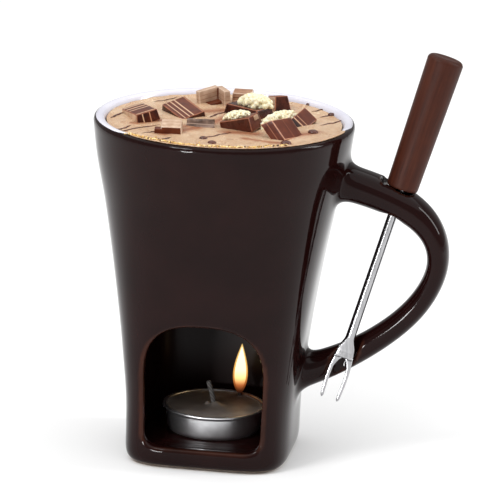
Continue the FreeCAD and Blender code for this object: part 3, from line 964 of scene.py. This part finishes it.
def build_froth(material):
    """Froth from its surface down to the melted chocolate, over the lip at the front."""
    around, rings = ((480, 130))
    points, faces = [], []
    bowl_edge = bowl_radius(np.array([FROTH_Z]))[0] - 0.55
    for ring in range(rings):
        share = ring / (rings - 1)
        for k in range(around):
            angle = 2 * math.pi * k / around
            edge = bowl_edge + (48.5 - bowl_edge + 0.25 * math.sin(9 * angle)) * float(front_share(angle))
            radius = edge * share
            points.append((radius * math.cos(angle), radius * math.sin(angle)))
    points = np.array(points)
    heights = froth_height(*points.T)
    fine = fine_noise(*points.T, 1.3) * 0.05 + fine_noise(*points.T, 4.0, 3.0) * 0.12
    top = np.concatenate([points, (heights + fine)[:, None]], 1)
    for ring in range(rings - 1):
        for k in range(around):
            j = (k + 1) % around
            a, b = ring * around + k, ring * around + j
            c, d = b + around, a + around
            faces.append([a, d, c, b] if ring else [0, d, c])
    outer = (rings - 1) * around
    body = [top]
    count = len(top)
    bearing = np.arctan2(top[outer:outer + around, 1], top[outer:outer + around, 0])
    front = front_share(bearing)
    edge_height = top[outer:outer + around, 2]
    deep = FROTH_Z - 3.0
    for front_radius, front_height, side_inset, side_drop in (
            (48.3, MUG_HEIGHT + 0.05, 0.05, 0.3), (46.6, MUG_HEIGHT + 0.08, 0.1, 0.6),
            (44.9, MUG_HEIGHT - 1.4, 0.15, 0.9),
            (bowl_radius(np.array([deep]))[0] - 0.85, deep, 0.6, 3.0),
            (bowl_radius(np.array([FROTH_LOW_Z]))[0] - 0.85, FROTH_LOW_Z, 0.9, FROTH_Z - FROTH_LOW_Z)):
        radius = front * front_radius + (1 - front) * (bowl_edge - side_inset)
        height = front * front_height + (1 - front) * (edge_height - side_drop)
        height = np.maximum(height, FROTH_LOW_Z)
        body.append(np.stack([radius * np.cos(bearing), radius * np.sin(bearing), height], -1))
    start = outer
    skirt_rows = 5
    for number in range(skirt_rows):
        below = count + number * around
        for k in range(around):
            j = (k + 1) % around
            faces.append([start + j, start + k, below + k, below + j])
        start = below
    body.append(np.array([(0.0, 0.0, FROTH_LOW_Z)]))
    middle = count + skirt_rows * around
    for k in range(around):
        faces.append([middle, start + (k + 1) % around, start + k])
    everything = np.concatenate(body)
    back = turned(everything, -LAYOUT_TURN)
    # red-brown streaks: partly chocolate drawn through the froth, partly painted shade beside the pieces
    smear_and_shade = np.zeros(len(back))
    for start_at, end_at, width in SMEARS:
        gap, t = distance_to_run(back[:, 0], back[:, 1], start_at, end_at)
        smear_and_shade = np.maximum(smear_and_shade, np.exp(-(gap / width) ** 2))
    used = np.unique(np.concatenate([np.array(face) for face in faces]))
    place = np.full(len(everything), -1)
    place[used] = np.arange(len(used))
    faces = [[int(place[i]) for i in face] for face in faces]
    piece = new_piece("froth_surface", everything[used], faces, material, "filling",
                      ("fondue_froth",))
    point_values(piece, "smear_and_shade", smear_and_shade[used])
    return piece


def froth_material():
    """Cream and tan froth with fine drawn-out marbling and redder streaks, partly of chocolate and partly
    painted shade beside the pieces.
    """
    material, shader, add, link = new_material("froth")
    place = object_place(add)
    bent = noise_of(add, place, 45.0, 2.0)
    across = {"Vector": place, "Rotation": (0, 0, math.radians(38)), "Scale": (1.0, 0.13, 1.0)}
    turn = add("ShaderNodeMapping", across).outputs["Vector"]
    swirl = add("ShaderNodeVectorMath", {0: turn, 1: bent}, operation="ADD").outputs["Vector"]
    streak = noise_of(add, swirl, 330.0, 5.0, 0.62)
    base = ramp(add, streak, [(0.30, (0.22, 0.090, 0.038)), (0.43, (0.44, 0.245, 0.130)),
                              (0.54, (0.60, 0.41, 0.255)), (0.70, (0.80, 0.66, 0.48))])
    patch = noise_of(add, place, 70.0, 3.0)
    pale = mix_colour(add, scaled(add, patch, 0.0, 0.5, 0.5, 0.75), base, (0.72, 0.57, 0.41))
    red = ramp(add, streak, [(0.35, (0.16, 0.034, 0.012)), (0.62, (0.42, 0.16, 0.07))])
    # the stored streaks turn the froth red-brown: chocolate, and painted shade beside the pieces
    amount = maths(add, stored(add, "smear_and_shade"), 0.95, "MULTIPLY")
    link(mix_colour(add, amount, pale, red), "Base Color")
    bubbles = add("ShaderNodeTexVoronoi", {"Vector": place, "Scale": 1400.0}).outputs["Distance"]
    rough = bump(add, bubbles, 0.10, 0.30)
    node = add("ShaderNodeBump", {"Height": streak, "Distance": 0.25 * MM, "Strength": 0.5, "Normal": rough})
    link(node.outputs["Normal"], "Normal")
    shader.inputs["Roughness"].default_value = 0.42
    shader.inputs["Subsurface Weight"].default_value = 0.12
    shader.inputs["Subsurface Radius"].default_value = (0.0016, 0.0010, 0.0006)
    return material


def striped(add, base, lines):
    """Paints thin lines over a colour: (axis 0-2 of the piece's own frame, place, half width, colour)."""
    split = add("ShaderNodeSeparateXYZ", {"Vector": stored_vector(add, "own")}).outputs
    colour = base
    for axis, at, half, tint in lines:
        off = maths(add, split[axis], at, "SUBTRACT")
        gap = add("ShaderNodeMath", {0: off}, operation="ABSOLUTE").outputs["Value"]
        share = scaled(add, gap, 0.0, 1.0, half + 0.05, half - 0.05)
        colour = mix_colour(add, share, colour, tint)
    return colour


def chocolate(name, dark, light, lines=(), rough=0.30, grain=420.0):
    """Moulded chocolate with a soft cloud between two tones, fine pits and painted lines."""
    material, shader, add, link = new_material(name)
    place = stored_vector(add, "own")
    cloud = noise_of(add, place, 0.35, 4.0)
    base = ramp(add, cloud, [(0.32, dark), (0.68, light)])
    link(striped(add, base, lines), "Base Color")
    pits = noise_of(add, object_place(add), grain * 3, 3.0)
    link(bump(add, pits, 0.06, 0.35), "Normal")
    link(scaled(add, cloud, rough - 0.06, rough + 0.12), "Roughness")
    shader.inputs["Specular IOR Level"].default_value = 0.28
    return material


def chunk(name, place, size, turn, bevel, base, materials, sides=None, replaced=(),
          lump=0.07, also=()):
    """Moulded chocolate piece: frustum with eased edges in a paler material as a painted highlight, slightly
    uneven faces.

    turn is yaw, pitch, roll in degrees. materials are the face, the eased edge (painted paler as a highlight)
    and any others; sides gives the number of the material for a direction such as "-x". also holds joined
    blocks, each as offset, size and material number.
    """
    mesh = bmesh.new()
    parts = [((0.0, 0.0, 0.0), size, None, bevel)]
    parts += [(*joined, 0.0) for joined in also]
    for offset, (length, width, height), number, taper in parts:
        block = bmesh.new()
        corners = bmesh.ops.create_cube(block, size=1.0)["verts"]
        for vertex in corners:
            inset = taper if vertex.co.z > 0 else 0.0
            vertex.co.x *= length - 2 * inset
            vertex.co.y *= width - 2 * inset
            vertex.co.z = (vertex.co.z + 0.5) * height
        for face in block.faces:
            face.normal_update()
            axis = max(range(3), key=lambda i: abs(face.normal[i]))
            direction = ("-" if face.normal[axis] < 0 else "+") + "xyz"[axis]
            face.material_index = number if number is not None else (sides or {}).get(direction, 0)
        eased = bmesh.ops.bevel(block, geom=block.edges[:], offset=0.28, segments=2, profile=0.5,
                                affect="EDGES")["faces"]
        # the eased edge faces take the paler material: a painted highlight along the edges
        for face in eased:
            face.material_index = 1 if number is None else number
        bmesh.ops.subdivide_edges(block, edges=[e for e in block.edges if e.calc_length() > 1.2], cuts=5,
                                  use_grid_fill=True)
        for vertex in block.verts:
            vertex.co += Vector(offset)
        holder = bpy.data.meshes.new("block")
        block.to_mesh(holder)
        block.free()
        mesh.from_mesh(holder)
        bpy.data.meshes.remove(holder)
    for vertex in mesh.verts:
        place_in_noise = vertex.co * 0.45 + Vector((place[0], place[1], 0.0))
        vertex.co += Vector(noise.noise_vector(place_in_noise)) * lump
    own = np.array([vertex.co[:] for vertex in mesh.verts])
    yaw, pitch, roll = (Matrix.Rotation(math.radians(part), 3, axis) for part, axis in zip(turn, "ZYX"))
    rotation = yaw @ pitch @ roll
    world = own @ np.array(rotation).T + np.array((place[0], place[1], FROTH_Z + base))
    numbers = [face.material_index for face in mesh.faces]
    mesh.verts.index_update()
    faces = [[vertex.index for vertex in face.verts] for face in mesh.faces]
    mesh.free()
    piece = new_piece(name, turned(world, LAYOUT_TURN), faces, materials[0], "filling", replaced)
    for material in materials[1:]:
        piece.data.materials.append(material)
    piece.data.polygons.foreach_set("material_index", numbers)
    piece.data.set_sharp_from_angle(angle=math.radians(38))
    point_vectors(piece, "own", own)
    return piece


CREAM = (0.60, 0.38, 0.235)
RED_BROWN = (0.080, 0.0145, 0.0050)
MILK = (0.135, 0.028, 0.0090)
NEAR_BLACK = (0.022, 0.005, 0.003)
PALE = (0.38, 0.24, 0.16)
PALE_LIGHT = (0.56, 0.39, 0.28)


def build_chocolates():
    # the three paler edge materials below paint a highlight along the eased edges of the pieces
    edge = chocolate("chocolate_edge_highlight", (0.20, 0.060, 0.028), (0.36, 0.14, 0.075))
    light_edge_highlight = chocolate("chocolate_light_edge", (0.36, 0.15, 0.085), (0.58, 0.31, 0.20))
    plain = chocolate("chocolate_plain", RED_BROWN, MILK)
    dark = chocolate("chocolate_dark", NEAR_BLACK, (0.075, 0.016, 0.007), rough=0.24)
    wafer = chocolate("chocolate_wafer_layer", (0.40, 0.24, 0.14), (0.64, 0.45, 0.31), rough=0.55)
    pale = chocolate("chocolate_pale", PALE, PALE_LIGHT, [(2, 1.6, 0.10, (0.22, 0.09, 0.045)),
                                                          (2, 3.1, 0.10, (0.26, 0.12, 0.07)),
                                                          (2, 4.7, 0.08, (0.30, 0.15, 0.09))], rough=0.42)
    pale_edge_highlight = chocolate("chocolate_pale_edge", (0.50, 0.33, 0.23), (0.70, 0.54, 0.42))

    first_top = chocolate("chocolate_1_top", (0.085, 0.019, 0.008), MILK,
                          [(1, 6.6, 0.60, CREAM), (1, 3.4, 0.55, CREAM), (1, 0.3, 0.45, CREAM),
                           (1, -6.9, 0.4, CREAM)])
    first_front = chocolate("chocolate_1_front", NEAR_BLACK, RED_BROWN,
                            [(0, -1.9, 0.22, CREAM), (0, 1.0, 0.20, (0.50, 0.24, 0.13))], rough=0.22)
    chunk("striped_square_1", (-31.9, -1.1), (9.5, 17.0, 4.4), (34, -13, -5), 0.5, -1.2,
          [first_top, edge, wafer, first_front], {"-x": 2, "-y": 3}, replaced=("chocolate_1_striped",))

    second = chocolate("chocolate_2_face", RED_BROWN, MILK,
                       [(1, -3.4, 0.16, CREAM), (1, -1.5, 0.22, CREAM), (1, 0.3, 0.26, CREAM),
                        (1, 4.4, 0.20, (0.40, 0.17, 0.09))])
    chunk("striped_square_2", (-17.8, 9.8), (15.2, 10.6, 2.9), (-45, 11, 14), 0.3, -0.4, [second, edge, dark],
          {"+x": 2, "-x": 2, "-y": 2}, replaced=("chocolate_2_striped",))

    chunk("corner_slab_left", (-12.4, 31.0), (9.4, 2.8, 6.6), (44, -9, 0), 0.2, -1.0,
          [pale, pale_edge_highlight, plain], {"+x": 2}, ("chocolate_3_corner",),
          also=[((1.5, -3.0, 0.2), (7.0, 4.0, 1.5), 2)])
    chunk("corner_slab_right", (-6.5, 31.2), (9.4, 2.8, 6.8), (-58, 0, 4), 0.2, -1.0,
          [pale, pale_edge_highlight, plain], {"-x": 2},
          also=[((-3.2, -1.3, 0.6), (2.2, 0.9, 6.1), 2)])

    stacked = chocolate("chocolate_4_face", (0.26, 0.12, 0.065), (0.40, 0.22, 0.135),
                        [(2, 2.2, 0.20, (0.62, 0.42, 0.29)), (2, 3.9, 0.24, (0.62, 0.42, 0.29)),
                         (2, 3.1, 0.12, (0.10, 0.035, 0.018)), (2, 5.3, 0.14, (0.10, 0.035, 0.018))],
                        rough=0.42)
    chunk("stacked_wafer", (0.5, 33.5), (8.0, 6.5, 7.0), (4, 0, 6), 0.3, -2.0, [stacked, pale_edge_highlight], None,
          ("chocolate_4_wafer",))
    chunk("dark_wedge", (15.4, 29.4), (7.0, 9.9, 6.2), (32, 0, -12), 1.0, -1.2, [plain, edge, pale, dark],
          {"-x": 2, "-y": 3}, replaced=("chocolate_5_dark",))

    sixth_front = chocolate("chocolate_6_front", (0.045, 0.009, 0.005), (0.085, 0.019, 0.009), rough=0.24)
    chunk("crumble_square", (8.2, -5.4), (14.0, 8.6, 5.6), (-20, -16, 6), 0.4, -1.3,
          [plain, edge, sixth_front, wafer], {"-y": 2}, replaced=("chocolate_6_block",),
          also=[((6.75, 1.0, 3.4), (0.7, 3.0, 1.9), 3)])

    seventh = chocolate("chocolate_7_face", RED_BROWN, MILK,
                        [(0, 0.4, 0.09, (0.30, 0.10, 0.05)), (1, -5.6, 0.25, (0.50, 0.26, 0.15))], rough=0.34)
    seventh_side = chocolate("chocolate_7_side", (0.075, 0.014, 0.006), (0.13, 0.028, 0.011),
                             [(2, 2.2, 0.12, (0.34, 0.13, 0.07))], rough=0.32)
    chunk("large_square", (24.0, -11.5), (14.8, 12.2, 4.4), (64, 4, 42), 1.5, -0.2,
          [seventh, light_edge_highlight, seventh_side], {"+y": 2, "-y": 2, "-x": 2, "+x": 2},
          replaced=("chocolate_7_large",))

    eighth = chocolate("chocolate_8_face", RED_BROWN, MILK,
                       [(0, -5.2, 0.22, CREAM), (0, -3.8, 0.95, NEAR_BLACK), (0, -2.3, 0.22, CREAM),
                        (0, -1.3, 0.10, NEAR_BLACK), (0, -0.5, 0.14, (0.50, 0.26, 0.15))])
    chunk("striped_square_8", (26.9, 9.8), (11.2, 7.4, 4.6), (63, -20, 40), 0.4, -1.5, [eighth, edge, dark],
          {"-y": 2}, replaced=("chocolate_8_striped",))

    speckled = chocolate("chocolate_9_wafer", (0.42, 0.26, 0.17), (0.66, 0.49, 0.36), rough=0.6)
    chunk("speckled_wafer", (-16.6, -18.6), (8.2, 9.6, 3.4), (9, 0, 5), 0.3, -0.5,
          [speckled, pale_edge_highlight, plain], {"-y": 2}, ("chocolate_9_wafer",),
          also=[((-4.4, -3.2, 0.1), (3.6, 3.2, 2.4), 2)])
    chunk("dark_square", (6.2, 16.6), (17.0, 10.5, 4.6), (-30, 0, 0), 0.8, -1.0, [dark, edge], None,
          replaced=("chocolate_10_base",))
    curl = chocolate("chocolate_curl", (0.07, 0.040, 0.028), (0.28, 0.19, 0.15),
                     [(1, -0.6, 0.18, (0.03, 0.015, 0.010)), (2, 1.6, 0.16, (0.42, 0.31, 0.25))], rough=0.35)
    chunk("chocolate_curl", (-7.5, -8.5), (11.0, 2.8, 3.6), (4, 0, -16), 0.4, -0.8, [curl, curl], None,
          ("chocolate_shaving",), lump=0.45)


def crisp_heap(name, centre, size, turn, base, count, grain, material, node, seed):
    """Heap of puffed crisps: many little balls over a flattened dome, merged where they touch."""
    chance = np.random.default_rng(seed)
    length, width, height = size
    yaw, pitch = (math.radians(v) for v in turn)
    balls = []
    for i in range(count):
        reach = math.sqrt((i + 0.5) / count)
        angle = i * 2.399963 + chance.uniform(-0.25, 0.25)
        u, v = reach * math.cos(angle), reach * math.sin(angle)
        lift = math.sqrt(max(0.0, 1 - reach ** 2)) * 0.82 + chance.uniform(-0.05, 0.08)
        radius = grain * chance.uniform(0.78, 1.15)
        balls.append((u * (length / 2 - grain * 0.6), v * (width / 2 - grain * 0.6),
                      max(lift * (height - grain), radius * 0.35), radius))
    balls = np.array(balls)

    def field(x, y, z):
        total = None
        for bx, by, bz, radius in balls:
            ball = np.sqrt((x - bx) ** 2 + (y - by) ** 2 + (z - bz) ** 2) - radius
            total = ball if total is None else merge(total, ball, 0.35)
        core = np.sqrt((x / (length / 2)) ** 2 + (y / (width / 2)) ** 2 + (z / (height * 0.72)) ** 2) - 0.80
        total = merge(total, core * height * 0.6, 0.3)
        return both(total, -z - 0.3, 0.3)

    reach = np.array((length / 2 + grain, width / 2 + grain, height + grain))
    low = np.array((-reach[0], -reach[1], -1.0))
    points, quads = surface_of(field, low, reach, grain / (4.2))
    c, s = math.cos(pitch), math.sin(pitch)
    x, y, z = points.T
    points = np.stack([x * c + z * s, y, z * c - x * s], -1)
    points = turned(points, yaw) + np.array((centre[0], centre[1], FROTH_Z + base))
    return new_piece(name, turned(points, LAYOUT_TURN), quads, material, "filling", (node,))


def build_crisps(material):
    crisp_heap("puffed_crisps", (8.6, 17.4), (15.0, 10.0, 5.6), (-20, 0), 3.4, 58, 1.25, material,
               "white_crisps_back", 3)
    crisp_heap("ridge_crisps", (20.2, 5.2), (26.0, 7.0, 7.0), (64, 0), -1.0, 120, 0.85, material,
               "white_crisps_right", 5)
    crisp_heap("crumble_crisps", (5.6, -3.6), (12.0, 8.0, 3.2), (-20, -16), 3.4, 90, 0.6, material,
               "white_crisps_top", 9)


def crumbs_material():
    material, shader, add, link = new_material("biscuit_crumbs")
    tone = stored(add, "tone")
    link(ramp(add, tone, [(0.0, (0.06, 0.022, 0.010)), (0.20, (0.16, 0.070, 0.025)),
                          (0.24, (0.50, 0.27, 0.07)), (0.62, (0.80, 0.53, 0.17)),
                          (1.0, (0.92, 0.76, 0.42))]), "Base Color")
    link(bump(add, noise_of(add, object_place(add), 3000.0), 0.1, 0.6), "Normal")
    shader.inputs["Roughness"].default_value = 0.55
    return material


def build_crumbs(material):
    """Broken biscuit in a band along the front of the rim."""
    chance = np.random.default_rng(11)
    points, faces, tones = [], [], []
    for number in range(620):
        angle = math.radians(chance.uniform(222, 309))
        radius = 48.1 - abs(chance.normal(0, 2.3)) * (1 if number % 5 else 1.7)
        x, y = radius * math.cos(angle), radius * math.sin(angle)
        z = float(froth_height(np.array([x]), np.array([y]))[0])
        grain = chance.uniform(0.28, 0.66)
        cloud = bmesh.new()
        for _ in range(9):
            way = chance.normal(size=3)
            way *= grain / np.linalg.norm(way) * chance.uniform(0.75, 1.1)
            cloud.verts.new((x + way[0], y + way[1], z + grain * 0.45 + way[2] * 0.8))
        hull = bmesh.ops.convex_hull(cloud, input=cloud.verts[:])
        bmesh.ops.delete(cloud, geom=[v for v in cloud.verts if not v.link_faces], context="VERTS")
        cloud.verts.index_update()
        start = len(points)
        points += [tuple(vertex.co) for vertex in cloud.verts]
        faces += [[start + vertex.index for vertex in face.verts] for face in cloud.faces]
        tones += [chance.uniform(0, 1)] * (len(points) - start)
        cloud.free()
    piece = new_piece("biscuit_band", points, faces, material, "filling", ("biscuit_crumbs",),
                      False)
    point_values(piece, "tone", tones)
    return piece


# start, end and half width of each line of melted chocolate
DRIZZLES = [
    ((-42.6, -7.3), (-39.6, 2.2), 0.50), ((-36.5, -27.0), (-32.9, -15.9), 0.42),
    ((-35.2, -29.5), (-22.5, -11.7), 0.34), ((-26.5, -27.5), (-21.8, -20.2), 0.28),
    ((-18.8, -41.0), (-14.2, -28.9), 0.48), ((-3.3, -26.5), (5.6, -13.7), 0.36),
    ((-7.0, 6.8), (-2.5, 16.8), 0.50), ((28.5, 28.7), (33.5, 34.7), 0.34), ((33.0, 20.4), (38.7, 27.5), 0.34),
    ((35.5, 8.1), (42.6, 17.9), 0.42), ((24.8, 36.9), (28.1, 40.3), 0.60),
    ((-33.3, 23.6), (-24.9, 35.2), 0.22),
]


def build_drizzle(material):
    """Tapered, slightly wandering lines of melted chocolate."""
    points, faces = [], []
    for number, (start, end, half) in enumerate(DRIZZLES):
        share = np.linspace(0, 1, 26)
        run = np.array(end) - np.array(start)
        side = np.array((-run[1], run[0])) / np.linalg.norm(run)
        bow = 0.05 * np.linalg.norm(run) * np.sin(math.pi * share) * (-1) ** number
        bow += 0.16 * np.sin(share * 17 + number)
        flat = np.array(start) + share[:, None] * run + bow[:, None] * side
        taper = np.clip(np.sin(math.pi * np.clip(share * 0.96 + 0.02, 0, 1)) * 1.6, 0.12, 1)
        thick = half * taper * (1 + 0.18 * np.sin(share * 23 + 2 * number))
        place = turned(np.concatenate([flat, np.zeros((len(flat), 1))], 1), LAYOUT_TURN)
        place[:, 2] = froth_height(place[:, 0], place[:, 1])
        tube_points, tube_faces = tube(np.concatenate([place[:, :2], np.zeros((len(flat), 1))], 1), thick, 12)
        level = np.repeat(place[:, 2], 12)
        tube_points[:, 2] = level + 0.10 + tube_points[:, 2] * 0.55
        gather(points, faces, tube_points, tube_faces)
    new_piece("drizzled_lines", points, faces, material, "filling",
              ("chocolate_drizzle",))


# place and radius of each drop
DROPS = ((1.7, -32.0, 1.5), (28.3, -23.6, 1.9), (34.9, -3.5, 1.8), (-2.6, -26.9, 1.4), (25.9, 38.4, 1.4),
         (36.8, 25.4, 1.3))


def build_drops(material):
    """Domed drops of melted chocolate on the froth."""
    points, faces = [], []
    for x, y, radius in DROPS:
        profile = [(0.0, -0.4)]
        for angle in np.linspace(-0.25, math.pi / 2, 9)[:-1]:
            profile.append((radius * math.cos(angle) ** 0.8, 0.62 * radius * math.sin(angle) - 0.05))
        profile.append((0.0, 0.62 * radius - 0.05))
        drop, drop_faces = revolved(profile, 28)
        drop[:, 0] *= 1.12
        spot = turned(np.array([(x, y, 0.0)]), LAYOUT_TURN)[0]
        drop += np.array((spot[0], spot[1], float(froth_height(spot[:1], spot[1:2])[0])))
        gather(points, faces, drop, drop_faces)
    new_piece("chocolate_beads", points, faces, material, "filling", ("chocolate_drops",))


# ---------------------------------------------------------------- camera, light and floor

CAMERA_AZIMUTH = 8.2


def build_camera():
    """Camera at the height, side and slight tilt that the picture was taken from."""
    azimuth, elevation, tilt = (math.radians(v) for v in (CAMERA_AZIMUTH, 15.28, 2.19))
    aim = np.array((11.68, 0.0, 80.22))
    distance = 1893.6
    back = np.array((math.sin(azimuth) * math.cos(elevation), -math.cos(azimuth) * math.cos(elevation),
                     math.sin(elevation)))
    level = np.array((math.cos(azimuth), math.sin(azimuth), 0.0))
    rise = np.cross(back, level)
    right = level * math.cos(tilt) + rise * math.sin(tilt)
    above = rise * math.cos(tilt) - level * math.sin(tilt)
    data = bpy.data.cameras.new("camera")
    data.lens = 356.9
    data.sensor_width = 36.0
    data.clip_start, data.clip_end = 0.05, 20.0
    camera = bpy.data.objects.new("camera", data)
    show(camera)
    matrix = np.eye(4)
    matrix[:3, 0], matrix[:3, 1], matrix[:3, 2] = right, above, back
    matrix[:3, 3] = (aim + back * distance) * MM
    camera.matrix_world = Matrix(matrix.tolist())
    bpy.context.scene.camera = camera


def area_light(name, place, aim, size, power):
    """Rectangular soft light; places in millimetres, power in watts."""
    data = bpy.data.lights.new(name, "AREA")
    data.shape = "RECTANGLE"
    data.size, data.size_y = size[0] * MM, size[1] * MM
    data.energy = power
    light = bpy.data.objects.new(name, data)
    show(light)
    way = Vector(aim) - Vector(place)
    light.location = Vector(place) * MM
    light.rotation_mode = "QUATERNION"
    light.rotation_quaternion = way.to_track_quat("-Z", "Y")


def build_floor():
    """Plain pale floor that reaches past the view on every side."""
    reach, level = 6000.0, -0.2
    count = 12
    line = np.linspace(-reach, reach, count + 1)
    points = [(x, y, level) for y in line for x in line]
    row = count + 1
    corners = [r * row + c for r in range(count) for c in range(count)]
    faces = [(corner, corner + 1, corner + row + 1, corner + row) for corner in corners]
    material, shader, add, link = new_material("pale_floor")
    tone = noise_of(add, object_place(add), 3.0)
    link(ramp(add, tone, [(0.3, (0.89, 0.89, 0.89)), (0.7, (0.91, 0.91, 0.91))]), "Base Color")
    shader.inputs["Roughness"].default_value = 0.9
    shader.inputs["Specular IOR Level"].default_value = 0.1
    mesh = bpy.data.meshes.new("floor")
    mesh.from_pydata([tuple(v * MM for v in point) for point in points], [], faces)
    mesh.materials.append(material)
    floor = bpy.data.objects.new("floor", mesh)
    show(floor)


def build_light():
    """White room, an even soft sun overhead and three soft boxes, all seen by every kind of ray."""
    world = bpy.data.worlds.new("studio")
    bpy.context.scene.world = world
    world.use_nodes = True
    room = world.node_tree.nodes["Background"]
    room.inputs["Color"].default_value = (1.0, 1.0, 1.0, 1)
    room.inputs["Strength"].default_value = 0.42
    area_light("key", (-500, -700, 900), (0, 0, 60), (300, 300), 5.5)
    area_light("side", (800, 100, 500), (0, 0, 60), (160, 500), 3.0)
    area_light("low_front", (-330, -830, 45), (0, -20, 16), (130, 80), 2.4)
    overhead = bpy.data.lights.new("overhead", "SUN")
    overhead.energy = 2.0
    overhead.angle = math.radians(100)
    show(bpy.data.objects.new("overhead", overhead))
    bpy.context.scene.view_settings.view_transform = "Standard"


# ---------------------------------------------------------------- everything together

MUG_STEP = 0.9

build_camera()
build_light()
build_floor()
build_mug(brown_glaze())
build_lining(white_glaze())
build_candle_cup(foil())
build_wax(wax())
build_wicks(wick_cotton(), burnt_wick())
OUTER_FLAME = [(0.0, (0.10, 0.02, 0.01)), (0.2, (0.55, 0.14, 0.03)), (0.5, (1.0, 0.50, 0.10)),
               (1.0, (1.0, 0.66, 0.22))]
INNER_FLAME = [(0.0, (0.10, 0.02, 0.01)), (0.16, (0.45, 0.13, 0.04)), (0.33, (1.0, 0.72, 0.30)),
               (0.5, (1.0, 0.93, 0.66)), (1.0, (1.0, 0.96, 0.78))]
build_flame("flame_edge", flame_material("flame_edge", OUTER_FLAME, 1.2, 0.5), 3.0, 20.4, WAX_TOP + 0.9)
build_flame("flame_core", flame_material("flame_core", INNER_FLAME, 2.2, 0.0), 2.35, 18.2, WAX_TOP + 1.9)
build_grip(stained_wood())
build_fork_metal(stainless())
sauce = wet_chocolate()
build_froth(froth_material())
build_chocolates()
build_crisps(white_crisps())
build_crumbs(crumbs_material())
build_drizzle(sauce)
build_drops(sauce)
for node, material in (("melted_chocolate", sauce), ("wick_sustainer", tinned_steel())):
    kept = bpy.data.objects[node]
    kept.data.materials.clear()
    kept.data.materials.append(material)
